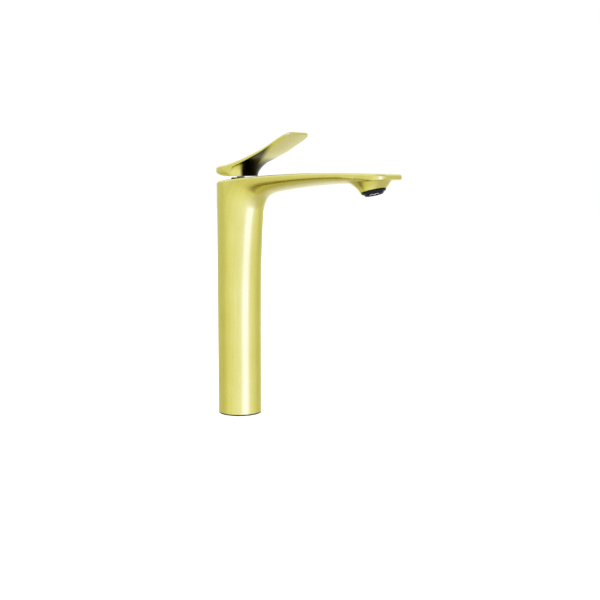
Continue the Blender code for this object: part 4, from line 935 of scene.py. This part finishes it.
class Nodes:
    """A node tree.  An input can be given a fixed value or another node's output."""

    def __init__(self, tree):
        self.tree = tree

    def feed(self, socket, value):
        if isinstance(value, bpy.types.NodeSocket):
            self.tree.links.new(value, socket)
        else:
            socket.default_value = value

    def fill(self, node, **values):
        """Feed a node's inputs by name, with _ for each space."""
        for key, value in values.items():
            self.feed(node.inputs[key.replace("_", " ")], value)

    def add(self, kind, settings=(), **values):
        node = self.tree.nodes.new("ShaderNode" + kind)
        for key, value in dict(settings).items():
            setattr(node, key, value)
        self.fill(node, **values)
        return node

    def calc(self, operation, *values):
        node = self.add("Math", {"operation": operation})
        for socket, value in zip(node.inputs, values):
            self.feed(socket, value)
        return node.outputs["Value"]

    def mix(self, kind, share, first, second):
        """Weighted mean of two values (FLOAT) or colours (RGBA)."""
        node = self.add("Mix", {"data_type": kind})
        *numbers, output = MIX_SOCKETS[kind]
        for number, value in zip(numbers, (share, first, second)):
            self.feed(node.inputs[number], value)
        return node.outputs[output]

    def ramp(self, value, stops):
        """Colour by a value, from stops of position and colour."""
        ramp = self.add("ValToRGB", Fac=value)
        elements = ramp.color_ramp.elements
        while len(elements) < len(stops):
            elements.new(0.5)
        for element, (place, colour) in zip(elements, stops):
            element.position = place
            element.color = (*colour, 1.0)
        return ramp.outputs["Color"]

    def noise(self, place, scale, detail=3.0):
        """Noise over coordinates that are stretched by scale, as a value from 0 to 1."""
        mapping = self.add("Mapping", Vector=place, Scale=scale)
        noise = self.add("TexNoise", Vector=mapping.outputs["Vector"], Scale=1.0,
                         Detail=detail, Roughness=NOISE_ROUGHNESS)
        return noise.outputs["Fac"]

    def uv(self, name):
        return self.add("UVMap", {"uv_map": name}).outputs["UV"]

    def place(self, kind="Object"):
        return self.add("TexCoord").outputs[kind]

    def axes(self, vector):
        return self.add("SeparateXYZ", Vector=vector).outputs


class Paint(Nodes):
    """A material's node tree."""

    def __init__(self, name, metallic, roughness):
        self.material = bpy.data.materials.new(name)
        self.material.use_nodes = True
        super().__init__(self.material.node_tree)
        self.shader = self.tree.nodes["Principled BSDF"]
        self.fill(self.shader, Metallic=metallic, Roughness=roughness)

    def tones(self, value, deep, pale, low=0.35, high=0.65):
        """Colour from deep to pale as a noise value goes from low to high."""
        self.fill(self.shader, Base_Color=self.ramp(value, ((low, deep), (high, pale))))

    def rough(self, value, low, high):
        """Roughness from low to high by a noise value."""
        span = self.add("MapRange", {"clamp": True}, Value=value, From_Min=NOISE_LOW,
                        From_Max=NOISE_HIGH, To_Min=low, To_Max=high)
        self.fill(self.shader, Roughness=span.outputs["Result"])

    def bump(self, height, distance, strength):
        node = self.add("Bump", Strength=strength, Distance=distance, Height=height)
        self.fill(self.shader, Normal=node.outputs["Normal"])


def make_gold(name):
    """Satin gold plating over lengthwise brushing, with painted shade where a skin's shade map says so."""
    paint = Paint(name, 1.0, 0.28)
    brush = paint.uv("brush")
    lines = paint.noise(brush, BRUSH_LINES, 4.0)
    streaks = paint.noise(brush, BRUSH_STREAKS)
    clouds = paint.noise(paint.place(), GOLD_CLOUDS)
    grain = paint.mix("FLOAT", 0.55, lines, streaks)
    tone = paint.mix("FLOAT", 0.45, grain, clouds)
    gold = paint.ramp(tone, ((0.36, GOLD_DEEP), (0.62, GOLD_PALE)))
    # painted shade: the shade map darkens the gold towards the neck's painted shade colour
    dark = paint.axes(paint.uv("shade"))["X"]
    colour = paint.mix("RGBA", dark, gold, (*NECK_PAINTED_SHADE, 1.0))
    paint.fill(paint.shader, Base_Color=colour)
    paint.rough(paint.mix("FLOAT", 0.4, lines, clouds), 0.22, 0.34)
    paint.bump(lines, distance=0.00002, strength=0.5)
    return paint.material


def lathe_place(paint, place, axis):
    """Radius and height about an axis along Z, as coordinates over which noise makes rings."""
    shift = paint.add("Mapping", Vector=place, Location=(-axis[0], -axis[1], 0.0))
    axes = paint.axes(shift.outputs["Vector"])
    flat = paint.add("CombineXYZ", X=axes["X"], Y=axes["Y"]).outputs["Vector"]
    radius = paint.add("VectorMath", {"operation": "LENGTH"}, Vector=flat)
    rings = paint.add("CombineXYZ", X=radius.outputs["Value"], Y=axes["Z"])
    return rings.outputs["Vector"]


def make_turned_metal(name, deep, pale, axis):
    """Metal with the fine rings that a lathe leaves about an axis along Z."""
    paint = Paint(name, 1.0, 0.24)
    place = paint.place()
    lines = paint.noise(lathe_place(paint, place, axis), LATHE_LINES, 2.0)
    grain = paint.mix("FLOAT", 0.5, lines, paint.noise(place, METAL_CLOUDS))
    paint.tones(grain, deep, pale)
    paint.rough(grain, 0.24, 0.40)
    paint.bump(lines, distance=0.00003, strength=0.6)
    return paint.material


def make_plastic(name, colour, rough, grain=MOULD_GRAIN, shine=0.5):
    """Moulded plastic: faint mould grain and a slight change of tone."""
    paint = Paint(name, 0.0, rough)
    paint.fill(paint.shader, Specular_IOR_Level=shine)
    place = paint.place()
    fine = paint.noise(place, (grain,) * 3, 2.0)
    clouds = paint.noise(place, PLASTIC_CLOUDS)
    deep = [(1.0 - TONE_CHANGE) * c for c in colour]
    pale = [min((1.0 + TONE_CHANGE) * c + 0.003, 1.0) for c in colour]
    paint.tones(paint.mix("FLOAT", 0.7, fine, clouds), deep, pale)
    paint.rough(paint.mix("FLOAT", 0.5, fine, clouds), rough - 0.08, rough + 0.10)
    paint.bump(fine, distance=0.00004, strength=0.6)
    return paint.material


def make_black(name, rough, grain=MOULD_GRAIN):
    """Deep black plastic or rubber that hardly shines."""
    return make_plastic(name, BLACK, rough, grain, BLACK_SHINE)


def make_ceramic(name):
    """Lapped alumina: nearly smooth, off-white, with faint mottling."""
    paint = Paint(name, 0.0, 0.15)
    mottle = paint.noise(paint.place(), CERAMIC_MOTTLE, 5.0)
    paint.tones(mottle, *CERAMIC)
    paint.rough(mottle, 0.10, 0.22)
    paint.bump(mottle, distance=0.00001, strength=0.4)
    return paint.material


# ------------ pieces and finishes
def stand_for(piece, node, material=None, body="root"):
    """Let a finished piece ride on its body in place of the CAD node."""
    if material is not None:
        piece.data.materials.clear()
        piece.data.materials.append(material)
    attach(piece, body)
    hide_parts(node)


def make_visible_pieces():
    lining = make_turned_metal("bare_bore", *RAW_BRASS, (0.0, 0.0))
    gold = make_gold("brushed_gold_casting")
    column = casting_skin()
    column.data.materials.append(gold)
    carve(column, casting_cutters(), lining)
    stand_for(smooth(column, CARVED_ANGLE), "body_casting")
    handle = lever_skin()
    handle.data.materials.append(make_gold("brushed_gold_lever"))
    carve(handle, lever_cutters(), lining)
    stand_for(smooth(handle, CARVED_ANGLE), "lever", body="lever_body")
    stand_for(make_plug(), "lever_plug", make_gold("brushed_gold_plug"),
              "lever_body")
    # the collar's black is painted shade, for the shadow under the lever
    stand_for(make_collar(), "trim_cap", make_black("collar_painted_shade", 0.36))
    stand_for(make_foot_seal(), "base_gasket",
              make_black("foot_rubber", 0.72, RUBBER_GRAIN))
    stand_for(make_aerator_shell(), "aerator_housing",
              make_black("black_shell", 0.34))
    stand_for(make_aerator_mesh(), "aerator_screen")


def finish_cad_nodes():
    """Give every CAD node that stays its own procedural finish, by the record's slot."""
    makers = {
        "raw_brass": lambda name, axis: make_turned_metal(name, *RAW_BRASS, axis),
        "steel": lambda name, axis: make_turned_metal(name, *STEEL, axis),
        "black_rubber": lambda name, axis: make_plastic(name, DARK_RUBBER, 0.72, RUBBER_GRAIN),
        "white_plastic": lambda name, axis: make_plastic(name, WHITE, 0.42),
        "grey_plastic": lambda name, axis: make_black(name, 0.48),
        "red_plastic": lambda name, axis: make_plastic(name, RED, 0.42),
        "ceramic": lambda name, axis: make_ceramic(name),
    }
    slots = {part["node"]: part["material_slot"] for part in frame["record"]["subparts"]}
    for node, item in sorted(frame["nodes"].items()):
        if item.hide_render:
            continue
        low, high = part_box(node)
        middle = (low + high) / 2.0
        item.data.materials.clear()
        item.data.materials.append(makers[slots[node]]("finish_" + node, (middle.x, middle.y)))


# ------------ stage, light and camera
VIEW_TURN = radians(36.0)           # the camera stands this far round from the -Y side
VIEW_PITCH = radians(6.618)
CAMERA_PLACE = (0.6875, -0.8373, 0.2456)
CAMERA_LENS = 61.8                  # focal length and sensor width in millimetres
CAMERA_SENSOR = 36.0

# the light tent around the object, in rings from straight below to overhead: a bearing in
# degrees, 0 being -Y and 90 being +X, and the red, green and blue of the tent's wall there
FLOOR_RING = (
    (-180, 0.68, 0.63, 0.60), (-125, 0.62, 0.56, 0.42), (-102, 0.58, 0.52, 0.32),
    (-88, 0.14, 0.09, 0.02), (-60, 0.12, 0.08, 0.01), (-46, 0.50, 0.44, 0.16),
    (-25, 0.86, 0.82, 0.50), (10, 0.86, 0.83, 0.70), (45, 0.86, 0.82, 0.82),
    (90, 0.66, 0.62, 0.56), (180, 0.68, 0.63, 0.60),
)
LOW_RING = (
    (-180, 0.70, 0.68, 0.75), (-145, 0.80, 0.78, 0.90), (-122, 0.44, 0.40, 0.28),
    (-108, 0.42, 0.38, 0.24), (-92, 0.72, 0.71, 0.58), (-68, 0.72, 0.70, 0.50),
    (-52, 0.55, 0.51, 0.28), (-34, 0.90, 0.88, 0.62), (10, 1.02, 1.02, 1.00),
    (50, 1.08, 1.08, 1.60), (75, 0.90, 0.90, 1.20), (105, 0.66, 0.64, 0.50),
    (150, 0.60, 0.58, 0.52), (180, 0.70, 0.68, 0.75),
)
LEVEL_RING = (
    (-180, 0.80, 0.80, 0.80), (-166, 1.08, 1.08, 1.08), (-122, 1.08, 1.08, 1.08),
    (-104, 0.66, 0.66, 0.62), (-72, 0.70, 0.68, 0.45), (-54, 0.68, 0.65, 0.38),
    (-24, 0.92, 0.90, 0.68), (10, 1.03, 1.03, 1.05), (46, 1.06, 1.08, 1.35),
    (57, 1.50, 1.55, 4.00), (81, 1.50, 1.55, 4.00), (92, 1.02, 1.03, 1.20),
    (118, 0.94, 0.92, 0.68), (146, 0.70, 0.68, 0.45), (168, 0.68, 0.66, 0.50),
    (180, 0.80, 0.80, 0.80),
)
HIGH_RING = (
    (-180, 1.08, 1.08, 1.30), (-60, 1.08, 1.10, 1.45), (-15, 0.98, 0.98, 1.45),
    (40, 0.72, 0.72, 1.10), (100, 0.55, 0.55, 0.80), (150, 0.80, 0.80, 1.00),
    (180, 1.08, 1.08, 1.30),
)
FLOOR_EDGE = (-52.0, -36.0)         # height angles between which one ring turns into the next
LOW_EDGE = (-34.0, -14.0)
HIGH_EDGE = (0.0, 16.0)
RAMP_TOP = 4.0                      # brightness at the top of the tent's colour scale
STAGE_REACH = 6.0                   # half width of the floor
FLOOR_TONES = ((0.90, 0.90, 0.895), (0.93, 0.93, 0.925))
OVERHEAD_SUN = 5.0
OVERHEAD_WIDTH = radians(120.0)


def stage_piece(name, points, faces, material):
    """A piece of the studio.  Metal mirrors the tent alone, so this isn't seen in reflections."""
    mesh = bpy.data.meshes.new(name)
    mesh.from_pydata(points, [], faces)
    mesh.materials.append(material)
    item = place_in_scene(name, mesh)
    item.visible_glossy = False
    item.visible_shadow = False
    return item


def make_stage():
    """A pale floor, and a plain white wall all round it that hides the light tent."""
    floor = Paint("pale_floor", 0.0, 0.6)
    clouds = floor.noise(floor.place(), FLOOR_CLOUDS)
    floor.tones(clouds, *FLOOR_TONES, NOISE_LOW, NOISE_HIGH)
    corners = ((-1, -1), (1, -1), (1, 1), (-1, 1))
    low = [(STAGE_REACH * x, STAGE_REACH * y, 0.0) for x, y in corners]
    high = [(x, y, STAGE_REACH) for x, y, _ in low]
    stage_piece("floor", low, [(0, 1, 2, 3)], floor.material)
    glow = Paint("pale_wall", 0.0, 1.0)
    glow.fill(glow.shader, Base_Color=(0.0, 0.0, 0.0, 1.0), Emission_Color=(1.0, 1.0, 1.0, 1.0),
              Emission_Strength=1.0)
    sides = [(k, (k + 1) % 4, (k + 1) % 4 + 4, k + 4) for k in range(4)]
    wall = stage_piece("wall", low + high, sides, glow.material)
    wall.visible_diffuse = False


def ring_colour(sky, bearing, ring):
    """Colour of a ring of the tent, by a bearing in radians."""
    share = sky.calc("MULTIPLY_ADD", bearing, 0.5 / pi, 0.5)
    return sky.ramp(share, [(degrees / 360.0 + 0.5, [c / RAMP_TOP for c in colour])
                            for degrees, *colour in ring])


def past(sky, height, edges):
    """Smooth share from 0 to 1 as an angle in radians goes from one edge to the other."""
    span = sky.add("MapRange", {"interpolation_type": "SMOOTHSTEP"}, Value=height,
                   From_Min=radians(edges[0]), From_Max=radians(edges[1]))
    return span.outputs["Result"]


def make_world():
    """The light tent: rings of colour, each turning into the next by its height angle."""
    world = bpy.data.worlds.new("light_tent")
    world.use_nodes = True
    sky = Nodes(world.node_tree)
    axes = sky.axes(sky.place("Generated"))
    bearing = sky.calc("ARCTAN2", axes["X"], sky.calc("MULTIPLY", axes["Y"], -1.0))
    height = sky.calc("ARCSINE", axes["Z"])
    walls = ring_colour(sky, bearing, FLOOR_RING)
    for ring, edges in ((LOW_RING, FLOOR_EDGE), (LEVEL_RING, LOW_EDGE), (HIGH_RING, HIGH_EDGE)):
        walls = sky.mix("RGBA", past(sky, height, edges), walls, ring_colour(sky, bearing, ring))
    sky.fill(sky.tree.nodes["Background"], Color=walls, Strength=RAMP_TOP)
    bpy.context.scene.world = world


def make_lights():
    """A broad overhead light that only the floor and the matt pieces see."""
    lamp = bpy.data.lights.new("overhead", "SUN")
    lamp.energy = OVERHEAD_SUN
    lamp.angle = OVERHEAD_WIDTH
    item = place_in_scene("overhead", lamp)
    item.location = (0.0, 0.0, 2.0)
    item.visible_glossy = False


def make_camera():
    lens = bpy.data.cameras.new("camera")
    lens.lens = CAMERA_LENS
    lens.sensor_width = CAMERA_SENSOR
    lens.clip_start = 0.01
    item = place_in_scene("camera", lens)
    item.location = CAMERA_PLACE
    item.rotation_euler = (pi / 2 - VIEW_PITCH, 0.0, VIEW_TURN)
    bpy.context.scene.camera = item


def main():
    make_camera()
    make_stage()
    make_world()
    make_lights()
    bpy.context.scene.view_settings.view_transform = "Standard"
    make_visible_pieces()
    finish_cad_nodes()


main()
